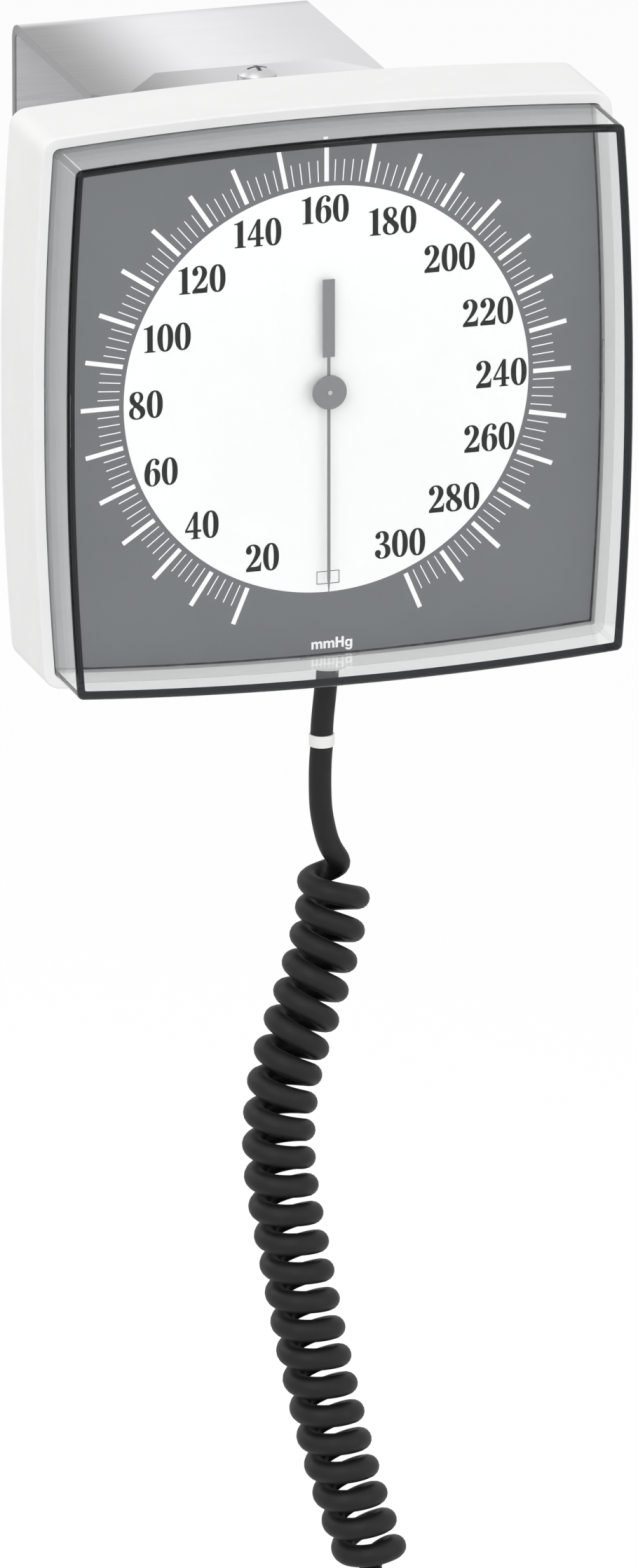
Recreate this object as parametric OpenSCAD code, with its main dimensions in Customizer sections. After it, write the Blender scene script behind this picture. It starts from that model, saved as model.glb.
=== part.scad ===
// Wall-mounted aneroid pressure gauge: a square case with a deep clear cover, carried by a yoke that
// swivels on a bracket fixed to the wall, with a coiled hose hanging below.
// The origin is the centre of the wall screw pattern, on the back face of the bracket.
// +Z is up and the dial faces -Y. Millimetres.

/* [Wall bracket] */
// Width of the bracket strap
bracket_w = 90; // [80:1:94]
// Height of the bracket over both arms
bracket_h = 138; // [120:1:142]
// Thickness of the bracket strap
bracket_t = 3; // [2:0.5:4]
// Outer radius of the bends of bracket and yoke
bend_r = 5; // [4:0.5:8]
// Distance from the wall to the swivel axis
pivot_reach = 100; // [90:1:130]
// Radius of the round nose of each bracket arm
nose_r = 24; // [20:0.5:26]
// How far behind the swivel axis each arm starts to narrow
taper_start = 18; // [17:1:30]
// Sideways distance between wall screw holes
wall_hole_x = 60; // [40:1:70]
// Upright distance between wall screw holes
wall_hole_z = 75; // [60:1:90]
// Diameter of the wall screw holes
wall_hole_d = 5.5; // [4:0.1:7]

/* [Swivel] */
// Distance from the swivel axis to the back of the case
pivot_to_case = 35; // [34:1:40]
// Diameter of the two pivot screws
pivot_d = 6; // [5:0.5:8]
// Radial clearance of the yoke on its pivot screws
pivot_fit = 0.05; // [0.02:0.01:0.1]
// End float above and below each yoke arm
end_float = 0.15; // [0.1:0.05:0.3]
// Diameter of the pivot screw heads
pivot_head_d = 11.5; // [10:0.5:13]
// Height of the pivot screw heads
pivot_head_h = 4.2; // [3.2:0.2:5]
// Height of the upright side of the pivot screw heads, below their dome
pivot_head_side = 2.2; // [1.2:0.2:2.6]
// Thickness of the pivot washers
washer_t = 2; // [1:0.5:3]
// Diameter of the pivot washers
washer_d = 17; // [14:1:20]
// Width of the pivot nuts across their flats
nut_af = 10; // [9:0.5:11]
// Height of the pivot nuts
nut_h = 6; // [4:0.5:8]
// Thickness of the yoke plate
yoke_t = 3; // [2:0.5:4]
// Width of the yoke plate
yoke_w = 78; // [72:1:86]
// Width of the yoke arms at their clipped rear edge
yoke_end_w = 52; // [44:1:60]
// Length of the clipped corners of the yoke arms
yoke_clip = 18; // [12:1:22]
// How far the yoke arms reach behind the swivel axis
yoke_reach = 17; // [14:1:20]
// Sideways distance between the screws that hold the yoke to the case
yoke_screw_x = 52; // [48:1:56]
// Upright distance between the screws that hold the yoke to the case
yoke_screw_z = 80; // [76:1:96]
// Diameter of the yoke screws
yoke_screw_d = 4; // [3:0.5:5]

/* [Case] */
// Width of the case at the middle of its bowed sides
case_w = 178; // [172:1:190]
// Height of the case at the middle of its bowed sides
case_h = 172; // [168:1:186]
// How far each side bows out
side_bow = 3.3; // [2:0.1:6]
// Radius of the upright corners
corner_r = 5.5; // [4.5:0.5:12]
// Depth of the case from its rim to its back
case_depth = 35; // [34.5:0.5:42]
// Thickness of the case walls, which is the width of its rim
wall_t = 3.3; // [2.5:0.1:4]
// Thickness of the case back
back_t = 3; // [2.5:0.5:4]
// Radius of the edge round the case back
back_edge_r = 2.5; // [1:0.5:3]
// Radius of the lip of the rim
rim_edge_r = 0.8; // [0.4:0.1:1.2]
// Thickness of the ribs that carry the dial plate
rib_t = 2; // [1.5:0.5:3]
// How far the ribs reach in from the case walls
rib_reach = 5; // [4:0.5:8]

/* [Cover and dial] */
// How far the clear cover stands out in front of the rim
cover_rise = 23.5; // [16:0.5:30]
// Thickness of the clear cover
cover_t = 2.5; // [1.5:0.25:3]
// Clearance between the cover and the case walls
cover_gap = 0.2; // [0.1:0.05:0.4]
// Radius of the front edge of the cover
cover_edge_r = 1.5; // [0.5:0.25:2.25]
// Height of the snap beads on the cover
bead_h = 0.7; // [0.5:0.1:1]
// Length of the snap beads on the cover
bead_len = 16; // [8:1:18]
// How far the dial face lies behind the rim
dial_depth = 2.4; // [2:0.1:4]
// Thickness of the dial plate
dial_t = 1.2; // [0.8:0.1:1.5]
// Diameter of the hole in the middle of the dial plate
dial_hole_d = 7; // [6:0.5:9]

/* [Pointer] */
// Length of the needle from the pointer axis to its tip
needle_len = 61.5; // [50:0.5:66]
// Width of the needle
needle_w = 0.9; // [0.6:0.1:1.5]
// Width of the counterweight bar
bar_w = 3.6; // [2.5:0.1:5]
// Distance from the pointer axis to the near end of the counterweight bar
bar_start = 10.4; // [8:0.1:14]
// Length of the counterweight bar
bar_len = 23.4; // [16:0.1:30]
// Thickness of the pointer blade
blade_t = 0.5; // [0.4:0.1:0.8]
// Gap between the dial face and the pointer blade
blade_gap = 1.9; // [1.2:0.1:3]
// Diameter of the pointer hub
hub_d = 10.2; // [8:0.1:12]
// Thickness of the pointer hub
hub_t = 1.2; // [0.8:0.1:2]
// Turn of the pointer from nothing to full scale, in degrees
pointer_turn = 337.5; // [300:0.5:345]

/* [Movement] */
// Module of the gear teeth
gear_module = 0.35; // [0.32:0.01:0.38]
// Teeth of the pinion
pinion_teeth = 12; // [12:1:12]
// Teeth that the sector gear would have as a full wheel
wheel_teeth = 120; // [120:1:120]
// Thickness of the sector gear
sector_t = 1; // [0.8:0.1:1.2]
// Length of the pinion
pinion_len = 2.2; // [2:0.1:2.4]
// Diameter of the steel arbors
arbor_d = 1.4; // [1.2:0.1:1.6]
// Radial clearance of the arbors in their bearings
arbor_fit = 0.05; // [0.02:0.01:0.08]
// Diameter of the movement plates
plate_d = 64; // [62:1:70]
// Thickness of the front and rear movement plates
plate_t = 1.2; // [1:0.1:1.4]
// Distance between the front and rear movement plates
plate_gap = 5.8; // [5.6:0.1:6.2]
// Gap between the dial plate and the front movement plate
dial_gap = 2; // [1.8:0.1:2.5]
// Thickness of the base plate
base_t = 1.8; // [1.4:0.1:2.2]
// Diameter of the pillars between the movement plates
pillar_d = 4; // [3.5:0.5:5]
// Diameter of the pillars that stand on the base plate
post_d = 5; // [4:0.5:5.5]
// Diameter of the movement screws
small_screw_d = 2; // [1.6:0.2:2.4]
// Length of the rocking lever under the capsule pin
lever_len = 2.6; // [2.4:0.1:2.8]
// Distance from the sector pivot to its drive pin
drive_r = 5.9; // [5.8:0.05:6]
// Diameter of the corrugated capsule
capsule_d = 44; // [38:1:46]
// Thickness of the corrugated capsule
capsule_t = 5.5; // [5:0.1:5.8]
// Ripples across each side of the capsule
ripples = 3; // [2:1:4]
// Height of the capsule ripples
ripple_h = 0.9; // [0.4:0.1:1.2]
// Turns of the hairspring
spring_turns = 5; // [3:1:6]
// Outer radius of the hairspring
spring_r = 7; // [6:0.25:8]
// Thickness of the hairspring strip
spring_t = 0.25; // [0.2:0.05:0.3]

/* [Hose] */
// Outer diameter of the hose
hose_d = 6.7; // [6:0.1:7]
// Mean radius of the hose curls
curl_r = 7.4; // [7:0.1:8.5]
// Advance of the coil with each curl
curl_pitch = 8.83; // [8:0.01:10]
// Curls in the coiled hose
curls = 24; // [4:1:24]
// Diameter of the white hose coupling
coupling_d = 7.5; // [7:0.1:9]
// Length of the coupling that shows between the hoses
coupling_len = 3.6; // [3:0.1:5]
// Sideways place of the hose outlet
outlet_x = 2.5; // [0:0.5:6]
// Distance of the hose outlet behind the rim
outlet_y = 9.5; // [9:0.5:11]
// Diameter of the body of the end connector
plug_d = 8; // [7:0.5:10]
// Length of the body of the end connector
plug_len = 18; // [12:1:24]
// Diameter of the spigot of the end connector
spigot_d = 4.8; // [4:0.1:6]
// Length of the spigot of the end connector
spigot_len = 9; // [6:1:12]

/* [Hidden] */

// Facets of a full round
round_fn = 64;
$fn = round_fn;
// Overshoot of a cut past the face that it opens
past = 1;
// Barbs that the hoses are pushed over
barb_d = 4;
barb_len = 6;
// Height of the flat pad under the nut of the hose outlet
nut_pad = 0.5;
// Clearance of a screw in a hole that it passes through, on the diameter
screw_play = 0.5;
// Shares of a screw's diameter that its head measures
head_wide = 2;
head_high = 0.6;

// Places along Y, from the wall to the rim of the case
pivot_y = -pivot_reach;
case_back_y = pivot_y - pivot_to_case;
rim_y = case_back_y - case_depth;

// Heights of the swivel stack above the dial axis, from the bracket arm outwards
arm_top = bracket_h / 2;
yoke_low = arm_top + washer_t + end_float;
yoke_top = yoke_low + yoke_t;
head_low = yoke_top + end_float;
screw_end = arm_top - bracket_t - nut_h - 2;

// Colours
steel = [0.80, 0.81, 0.83];
dark_steel = [0.62, 0.63, 0.66];
case_white = [0.94, 0.94, 0.94];
clear = [0.86, 0.92, 0.94, 0.35];
dial_grey = [0.50, 0.51, 0.53];
brass = [0.82, 0.68, 0.35];
nylon = [0.95, 0.95, 0.92];
hose_black = [0.14, 0.12, 0.13];

// A length of one
function unit(v) = v / norm(v);
function sum(list, last) = last < 0 ? 0 : list[last] + sum(list, last - 1);

// Draws a flat shape, seen from the front, as a slab that spans depth y0 to y1
module slab(y0, y1) {
    translate([0, y1, 0]) rotate([90, 0, 0]) linear_extrude(height = y1 - y0) children();
}

// A round bar along Y that spans depth y0 to y1 at [x, z]
module bar_y(place, d, y0, y1) {
    translate([place[0], y1, place[1]]) rotate([90, 0, 0]) cylinder(d = d, h = y1 - y0);
}

// Moves what is modelled from the rim of the case to its real place
module on_head() {
    translate([0, rim_y, 0]) children();
}

// The same on both arms, above and below the dial axis
module both_arms() {
    children();
    mirror([0, 0, 1]) children();
}

// Points of a circle round c from angle a0 to a1
function arc(c, r, a0, a1, steps) =
    [for (i = [0:steps]) c + r * [cos(a0 + (a1 - a0) * i / steps), sin(a0 + (a1 - a0) * i / steps)]];

// Bowed square
// Each side is a wide arc, and the corners are rounded between the two arcs that meet there.
function bow_radius(half, bow) = (half * half + bow * bow) / (2 * bow);
upright_r = bow_radius(case_h / 2 - side_bow, side_bow);
level_r = bow_radius(case_w / 2 - side_bow, side_bow);
upright_c = [case_w / 2 - upright_r, 0];
level_c = [0, case_h / 2 - level_r];
least_corner_r = 0.5;
side_steps = 4;
corner_steps = 4;

function corner_at(a, b) = let (
    across = level_c - upright_c,
    d = norm(across),
    along = (a * a - b * b + d * d) / (2 * d),
    out = sqrt(a * a - along * along),
    e = across / d)
    upright_c + along * e + out * [-e[1], e[0]] * (e[0] > 0 ? 1 : -1);

function quarter(inset) = let (
    r = max(corner_r - inset, least_corner_r),
    ru = upright_r - inset,
    rl = level_r - inset,
    c = corner_at(ru - r, rl - r),
    a1 = atan2(c[1] - upright_c[1], c[0] - upright_c[0]),
    a2 = atan2(c[1] - level_c[1], c[0] - level_c[0]))
    concat(
        [for (i = [0:side_steps - 1]) let (a = a1 * (i + 0.5) / side_steps)
            upright_c + ru * [cos(a), sin(a)]],
        arc(c, r, a1, a2, corner_steps),
        [for (i = [0.5:side_steps]) let (a = a2 + (90 - a2) * i / side_steps)
            level_c + rl * [cos(a), sin(a)]]);

// The whole outline, drawn in by inset, anticlockwise as seen from the front
// The middle of each side is a short flat.
function bowed(inset) = let (q = quarter(inset), n = len(q) - 1) concat(
    q,
    [for (i = [n:-1:0]) [-q[i][0], q[i][1]]],
    [for (p = q) [-p[0], -p[1]]],
    [for (i = [n:-1:0]) [q[i][0], -q[i][1]]]);
// Distance from the dial axis to the flat at the middle of the upright and level sides
function flat_x(inset) = max([for (p = bowed(inset)) p[0]]);
function flat_z(inset) = max([for (p = bowed(inset)) p[1]]);

// One closed skin through rings of equally many points
module skin(rings) {
    n = len(rings[0]);
    m = len(rings);
    polyhedron(
        points = [for (r = rings) each r],
        faces = concat(
            [[for (i = [n - 1:-1:0]) i]],
            [for (k = [0:m - 2], i = [0:n - 1])
                each [[k * n + i, k * n + (i + 1) % n, (k + 1) * n + i],
                    [k * n + (i + 1) % n, (k + 1) * n + (i + 1) % n, (k + 1) * n + i]]],
            [[for (i = [0:n - 1]) (m - 1) * n + i]]));
}

function ring_at(inset, y) = [for (p = bowed(inset)) [p[0], y, p[1]]];

// A bowed block between depths y0 and y1 whose edges are rounded by r0 in front and r1 behind
edge_steps = 3;
module bowed_block(inset, y0, y1, r0, r1) {
    skin(concat(
        [for (i = [0:edge_steps]) let (a = 90 * i / edge_steps)
            ring_at(inset + r0 * (1 - sin(a)), y0 + r0 * (1 - cos(a)))],
        [for (i = [0:edge_steps]) let (a = 90 * i / edge_steps)
            ring_at(inset + r1 * (1 - cos(a)), y1 - r1 * (1 - sin(a)))]));
}

// Bracket and yoke
// The pattern of four screws, [x, z]
function four(x, z) = [for (i = [-1, 1], j = [-1, 1]) [i * x / 2, j * z / 2]];

// A strap bent to a C, seen from the side: [depth, height] with its web at depth 0, reaching to depth reach
module bent_strap(half_h, reach, t) {
    polygon(concat(
        [[reach, half_h]],
        arc([bend_r, half_h - bend_r], bend_r, 90, 180, 6),
        arc([bend_r, bend_r - half_h], bend_r, 180, 270, 6),
        [[reach, -half_h], [reach, t - half_h]],
        arc([bend_r, bend_r - half_h], bend_r - t, 270, 180, 6),
        arc([bend_r, half_h - bend_r], bend_r - t, 180, 90, 6),
        [[reach, half_h - t]]));
}

// The outline of a bracket arm seen from above, [x, y]
module bracket_arm_plan() {
    corner = [bracket_w / 2, taper_start];
    touch = atan2(corner[1], corner[0]) - acos(nose_r / norm(corner));
    polygon(concat(
        [[-bracket_w / 2, 0], [-bracket_w / 2, pivot_y + taper_start]],
        arc([0, pivot_y], nose_r, 180 - touch, 360 + touch, 16),
        [[bracket_w / 2, pivot_y + taper_start], [bracket_w / 2, 0]]));
}

module wall_bracket() {
    color(steel) difference() {
        intersection() {
            rotate([90, 0, -90]) translate([0, 0, -bracket_w / 2])
                linear_extrude(height = bracket_w)
                    bent_strap(arm_top, pivot_reach + nose_r + past, bracket_t);
            translate([0, 0, -bracket_h]) linear_extrude(height = 2 * bracket_h) bracket_arm_plan();
        }
        for (p = four(wall_hole_x, wall_hole_z)) bar_y(p, wall_hole_d, -bracket_t - past, past);
        translate([0, pivot_y, -bracket_h]) cylinder(d = pivot_d, h = 2 * bracket_h);
    }
}

// Heads, recesses and shanks
cross_w = 1.3;
cross_len = 6;
cross_deep = 1.6;

// A low domed head with a cross recess, standing on z = 0
module domed_head(d, h) {
    dome_r = (d * d / 4 + h * h) / (2 * h);
    intersection() {
        translate([0, 0, h - dome_r]) sphere(r = dome_r);
        cylinder(d = d, h = h);
    }
}

module pivot_screws() {
    color(steel) both_arms() translate([0, pivot_y, 0]) difference() {
        union() {
            translate([0, 0, screw_end]) cylinder(d = pivot_d, h = head_low - screw_end);
            translate([0, 0, head_low]) cylinder(d = pivot_head_d, h = pivot_head_side);
            translate([0, 0, head_low + pivot_head_side])
                domed_head(pivot_head_d, pivot_head_h - pivot_head_side);
        }
        for (a = [0, 90]) translate([0, 0, head_low + pivot_head_h]) rotate([0, 0, a])
            cube([cross_len, cross_w, 2 * cross_deep], center = true);
    }
}

module pivot_washers() {
    color(nylon) both_arms() translate([0, pivot_y, arm_top]) difference() {
        cylinder(d = washer_d, h = washer_t);
        translate([0, 0, -past]) cylinder(d = pivot_d, h = washer_t + 2 * past);
    }
}

module pivot_nuts() {
    color(steel) both_arms() translate([0, pivot_y, arm_top - bracket_t - nut_h]) difference() {
        cylinder(d = nut_af / cos(30), h = nut_h, $fn = 6);
        translate([0, 0, -past]) cylinder(d = pivot_d, h = nut_h + 2 * past);
    }
}

// The outline of the yoke seen from above, with the corners of its arms clipped
module yoke_plan() {
    end_y = pivot_y + yoke_reach;
    polygon([[-yoke_w / 2, case_back_y], [yoke_w / 2, case_back_y], [yoke_w / 2, end_y - yoke_clip],
        [yoke_end_w / 2, end_y], [-yoke_end_w / 2, end_y], [-yoke_w / 2, end_y - yoke_clip]]);
}

module swivel_yoke() {
    color(dark_steel) difference() {
        intersection() {
            translate([-yoke_w / 2, case_back_y, 0]) rotate([90, 0, 90])
                linear_extrude(height = yoke_w) bent_strap(yoke_top, pivot_to_case + yoke_reach, yoke_t);
            translate([0, 0, -bracket_h]) linear_extrude(height = 2 * bracket_h) yoke_plan();
        }
        translate([0, pivot_y, -bracket_h]) cylinder(r = pivot_d / 2 + pivot_fit, h = 2 * bracket_h);
        for (p = four(yoke_screw_x, yoke_screw_z))
            bar_y(p, yoke_screw_d + screw_play, case_back_y - past, case_back_y + yoke_t + past);
    }
}

yoke_boss_h = 8;
yoke_boss_d = 2.25 * yoke_screw_d;
yoke_screw_len = yoke_t + back_t + 6;

module yoke_screws() {
    head_y = case_back_y + yoke_t;
    color(steel) for (p = four(yoke_screw_x, yoke_screw_z)) {
        bar_y(p, yoke_screw_d, head_y - yoke_screw_len, head_y);
        translate([p[0], head_y, p[1]]) rotate([-90, 0, 0])
            domed_head(head_wide * yoke_screw_d, head_high * yoke_screw_d);
    }
}

// Case, cover and dial
back_in = case_depth - back_t;
dial_back = dial_depth + dial_t;
dial_inset = wall_t + 0.3;
cover_inset = wall_t + cover_gap;
bead_y = dial_depth - 1.2;
bead_play = 0.15;
cover_lip_r = 0.2;

// Ribs as [place along the side, side], three on each side
rib_places = [-0.28, 0, 0.28];
upright_ribs = [for (s = [-1, 1], k = rib_places) [s, k * case_h]];
level_ribs = [for (s = [-1, 1], k = [-0.28, -0.1, 0.28]) [s, k * case_w]];

// Beads, or the grooves for them, at the middle of each side
module beads(grow) {
    for (a = [0, 1], s = [-1, 1])
        rotate([0, a * 90, 0]) translate([0, bead_y, s * (a == 0 ? flat_z(wall_t) : flat_x(wall_t))])
            cube([bead_len + 2 * grow, 1 + 2 * grow, 2 * (bead_h + grow)], center = true);
}

base_boss_h = 1;
base_boss_d = 9;
base_screw_d = 3;
base_screw_len = 4;
stud_circle = plate_d / 2 - 4.5;
base_screw_angles = [0, 120, 240];
base_pillar_angles = [60, 180, 300];
function on_circle(r, a) = [r * cos(a), r * sin(a)];

// The room inside the case, less its ribs, its bosses and the pad under the nut of the hose outlet
module case_room() {
    difference() {
        slab(-past, back_in) polygon(bowed(wall_t));
        for (r = upright_ribs) translate([r[0] * case_w / 2, dial_back + case_depth / 2, r[1]])
            cube([2 * (side_bow + wall_t + rib_reach), case_depth, rib_t], center = true);
        for (r = level_ribs) translate([r[1], dial_back + case_depth / 2, r[0] * case_h / 2])
            cube([rib_t, case_depth, 2 * (side_bow + wall_t + rib_reach)], center = true);
        for (p = four(yoke_screw_x, yoke_screw_z)) bar_y(p, yoke_boss_d, back_in - yoke_boss_h, case_depth);
        for (a = base_screw_angles)
            bar_y(on_circle(stud_circle, a), base_boss_d, back_in - base_boss_h, case_depth);
        translate([outlet_x, outlet_y, case_low]) cylinder(d = collar_d, h = nut_low - case_low);
    }
}

module case_shell() {
    color(case_white) on_head() difference() {
        bowed_block(0, 0, case_depth, rim_edge_r, back_edge_r);
        case_room();
        beads(bead_play);
        for (p = four(yoke_screw_x, yoke_screw_z))
            bar_y(p, yoke_screw_d, case_depth + yoke_t - yoke_screw_len, case_depth + past);
        for (a = base_screw_angles)
            bar_y(on_circle(stud_circle, a), base_screw_d,
                base_front + base_t - past, base_front + base_screw_len);
        translate([outlet_x, outlet_y, case_low - past]) cylinder(d = nipple_d, h = case_h / 4);
    }
}

module clear_cover() {
    color(clear) on_head() difference() {
        union() {
            bowed_block(cover_inset, -cover_rise, dial_depth, cover_edge_r, cover_lip_r);
            beads(0);
        }
        slab(cover_t - cover_rise, dial_depth + past) polygon(bowed(cover_inset + cover_t));
    }
}

module dial_plate() {
    color(dial_grey) on_head() difference() {
        slab(dial_depth, dial_back) polygon(bowed(dial_inset));
        bar_y([0, 0], dial_hole_d, dial_depth - past, dial_back + past);
    }
}

// Movement, from the dial backwards
front_y = dial_back + dial_gap;
rear_y = front_y + plate_t + plate_gap;
base_front = back_in - base_boss_h - base_t;
boss_t = 2.2;
capsule_y = base_front - boss_t;
capsule_front = capsule_y - capsule_t;
collet_y = front_y + plate_t + 0.4;
collet_t = 1.4;
spring_y = collet_y + 0.3;
spring_h = 0.8;
pinion_y = collet_y + collet_t + 0.3;
sector_y = pinion_y + (pinion_len - sector_t) / 2;
rocker_y = rear_y + plate_t + 3.6;

// Gears: the sector turns a tenth as far as the pointer
gear_ratio = wheel_teeth / pinion_teeth;
pinion_pitch_r = gear_module * pinion_teeth / 2;
wheel_pitch_r = gear_module * wheel_teeth / 2;
gear_distance = pinion_pitch_r + wheel_pitch_r;
sector_swing = pointer_turn / gear_ratio;
sector_place = [-sqrt(gear_distance * gear_distance - lever_len * lever_len), lever_len];
mesh_angle = atan2(-sector_place[1], -sector_place[0]);
pressure_angle = 20;
thinning = 0.05;
pinion_addendum = 0.9;
sector_addendum = 0.7;
root_gap = 0.25;
sector_teeth = 14;
drive_pin_d = 1.2;
drive_gap = 0.15;

// Involute tooth, pointing along +X, for a gear of pitch radius rp
function involute_deg(r, rb) = let (a = acos(min(1, rb / r))) tan(a) * 180 / PI - a;
function tooth(teeth, rp, add, ded) = let (
    rb = rp * cos(pressure_angle),
    half = 90 / teeth - thinning / rp * 180 / PI + involute_deg(rp, rb),
    rf = rp - ded,
    ra = rp + add,
    flank = [for (i = [0:4]) let (r = max(rf, rb) + (ra - max(rf, rb)) * i / 4)
        [r, half - involute_deg(r, rb)]])
    concat([[rf, half]], flank);
function tooth_points(teeth, rp, add, ded, turn) = let (t = tooth(teeth, rp, add, ded), n = len(t) - 1)
    concat(
    [for (i = [0:n]) t[i][0] * [cos(turn - t[i][1]), sin(turn - t[i][1])]],
    [for (i = [n:-1:0]) t[i][0] * [cos(turn + t[i][1]), sin(turn + t[i][1])]]);

module pinion_shape() {
    first = mesh_angle + 180 + pointer_turn / 2;
    polygon([for (k = [0:pinion_teeth - 1])
        each tooth_points(pinion_teeth, pinion_pitch_r, pinion_addendum * gear_module,
            (sector_addendum + root_gap) * gear_module, first + k * 360 / pinion_teeth)]);
}

module sector_shape() {
    step = 360 / wheel_teeth;
    ded = (pinion_addendum + root_gap) * gear_module;
    middle = mesh_angle - sector_swing / 2;
    edge = sector_teeth / 2 * step;
    rim = wheel_pitch_r - ded;
    difference() {
        union() {
            polygon(concat(
                [[0, 0]],
                [rim * [cos(middle - edge), sin(middle - edge)]],
                [for (k = [0:sector_teeth - 1]) each tooth_points(wheel_teeth, wheel_pitch_r,
                    sector_addendum * gear_module, ded, middle - edge + (k + 0.5) * step)],
                [rim * [cos(middle + edge), sin(middle + edge)]]));
            circle(d = 5);
        }
        intersection() {
            difference() {
                circle(r = rim - 3);
                circle(r = drive_r + 3);
            }
            polygon([[0, 0], 2 * rim * [cos(middle - edge * 0.62), sin(middle - edge * 0.62)],
                2 * rim * [cos(middle + edge * 0.62), sin(middle + edge * 0.62)]]);
        }
        circle(d = arbor_d);
    }
}

module sector_gear() {
    drive = -sector_swing / 2;
    color(brass) on_head() translate([sector_place[0], 0, sector_place[1]]) {
        slab(sector_y, sector_y + sector_t) sector_shape();
        bar_y(drive_r * [cos(drive), sin(drive)], drive_pin_d, sector_y + sector_t, rear_y - 0.4);
    }
}

module sector_arbor() {
    color(steel) on_head() bar_y(sector_place, arbor_d, front_y, rear_y + plate_t);
}

module pinion_arbor() {
    color(steel) on_head() union() {
        bar_y([0, 0], arbor_d, blade_y - hub_t, rear_y + plate_t);
        slab(pinion_y, pinion_y + pinion_len) pinion_shape();
    }
}

// Plates: round, bored for the arbors and for the screws of the pillars
pillar_angles = [90, 0, 270];
small_head_h = 0.8;
small_screw_bite = 4;

module plate_shape() {
    difference() {
        circle(d = plate_d);
        for (a = pillar_angles) translate(on_circle(stud_circle, a)) circle(d = small_screw_d);
        for (a = [45, 315]) translate(on_circle(plate_d * 0.27, a)) circle(d = plate_d * 0.2);
    }
}

module bearings(y) {
    for (p = [[0, 0], sector_place])
        bar_y(p, arbor_d + 2 * arbor_fit, y - past, y + plate_t + past);
}

module front_plate() {
    color(brass) on_head() difference() {
        slab(front_y, front_y + plate_t) plate_shape();
        bearings(front_y);
    }
}

finger_x = sector_place[0] + drive_r;
finger_w = 1.6;
ear_t = 1.2;
ear_x = [finger_x - finger_w / 2 - 1.4, 2.6];
ear_h = 4;

module rear_plate() {
    color(brass) on_head() difference() {
        union() {
            slab(rear_y, rear_y + plate_t) difference() {
                plate_shape();
                for (a = base_pillar_angles) translate(on_circle(stud_circle, a)) circle(d = small_screw_d);
                translate([finger_x, lever_len - 1]) square([finger_w + 1, 6.4], center = true);
            }
            for (x = ear_x) translate([x - ear_t / 2, rear_y + plate_t / 2, lever_len - ear_h / 2])
                cube([ear_t, rocker_y - rear_y - plate_t / 2 + ear_h / 2, ear_h]);
        }
        bearings(rear_y);
        translate([2 * ear_x[0], rocker_y, lever_len]) rotate([0, 90, 0])
            cylinder(d = arbor_d + 2 * arbor_fit, h = -4 * ear_x[0]);
    }
}

module base_plate() {
    color(brass) on_head() difference() {
        slab(base_front, base_front + base_t) difference() {
            union() {
                circle(d = plate_d);
                translate([0, -block_z]) square([block_w, 2 * block_h], center = true);
            }
            for (a = base_screw_angles)
                translate(on_circle(stud_circle, a)) circle(d = base_screw_d + screw_play);
            for (a = base_pillar_angles) translate(on_circle(stud_circle, a)) circle(d = small_screw_d);
        }
    }
}

module plate_pillars() {
    color(brass) on_head() for (a = pillar_angles) difference() {
        bar_y(on_circle(stud_circle, a), pillar_d, front_y + plate_t, rear_y);
        bar_y(on_circle(stud_circle, a), small_screw_d, front_y, rear_y + plate_t);
    }
}

// The rear pillars are riveted into the base plate
module base_pillars() {
    color(brass) on_head() for (a = base_pillar_angles) difference() {
        union() {
            bar_y(on_circle(stud_circle, a), post_d, rear_y + plate_t, base_front);
            bar_y(on_circle(stud_circle, a), small_screw_d, base_front, base_front + base_t);
        }
        bar_y(on_circle(stud_circle, a), small_screw_d, rear_y, rear_y + plate_t + small_screw_bite);
    }
}

// One small screw whose head lies in front of depth y
module small_screw(place, y, length) {
    bar_y(place, small_screw_d, y, y + length);
    bar_y(place, head_wide * small_screw_d, y - small_head_h, y);
}

module plate_screws() {
    color(steel) on_head() {
        for (a = pillar_angles)
            small_screw(on_circle(stud_circle, a), front_y, 2 * plate_t + plate_gap);
        for (a = base_pillar_angles)
            small_screw(on_circle(stud_circle, a), rear_y, plate_t + small_screw_bite);
    }
}

module base_screws() {
    color(steel) on_head() for (a = base_screw_angles) {
        bar_y(on_circle(stud_circle, a), base_screw_d, base_front, base_front + base_screw_len);
        bar_y(on_circle(stud_circle, a), 1.8 * base_screw_d, base_front - 1.6, base_front);
    }
}

// Capsule: two rippled discs of thin sheet, joined at their rims
sheet_t = 0.35;
port_r = 1;
crown_r = 4.5;
rim_in_r = capsule_d / 2 - 2.5;
ripple_steps = 6;

// Height of the outer face of one disc above the middle of the capsule, at radius r
function disc_face(r) = capsule_t / 2
    - ripple_h / 2 * (1 + cos(360 * ripples * (r - crown_r) / (rim_in_r - crown_r)));
disc_radii = [for (i = [0:ripples * ripple_steps])
    crown_r + (rim_in_r - crown_r) * i / (ripples * ripple_steps)];
function disc_line(drop) = [for (r = disc_radii) [r, disc_face(r) - drop]];
function flip(line) = [for (i = [len(line) - 1:-1:0]) [line[i][0], -line[i][1]]];

module capsule() {
    crown = capsule_t / 2;
    outer = concat([[0, crown], [crown_r - 0.5, crown]], disc_line(0),
        [[rim_in_r + 0.8, sheet_t], [capsule_d / 2, sheet_t]]);
    outer_rear = concat([[port_r, crown], [crown_r - 0.5, crown]], disc_line(0),
        [[rim_in_r + 0.8, sheet_t], [capsule_d / 2, sheet_t]]);
    inner = concat([[0, crown - sheet_t], [crown_r - 0.5, crown - sheet_t]], disc_line(sheet_t),
        [[rim_in_r + 0.5, 0]]);
    inner_rear = concat([[port_r, crown - sheet_t], [crown_r - 0.5, crown - sheet_t]], disc_line(sheet_t));
    turned = [for (i = [len(inner) - 1:-1:0]) inner[i]];
    rear_in = [for (p = inner_rear) [p[0], -p[1]]];
    color(brass) on_head() {
        translate([0, capsule_y - capsule_t / 2, 0]) rotate([90, 0, 0])
            rotate_extrude() polygon(concat(outer, flip(outer_rear), rear_in, turned));
    }
}

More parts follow.
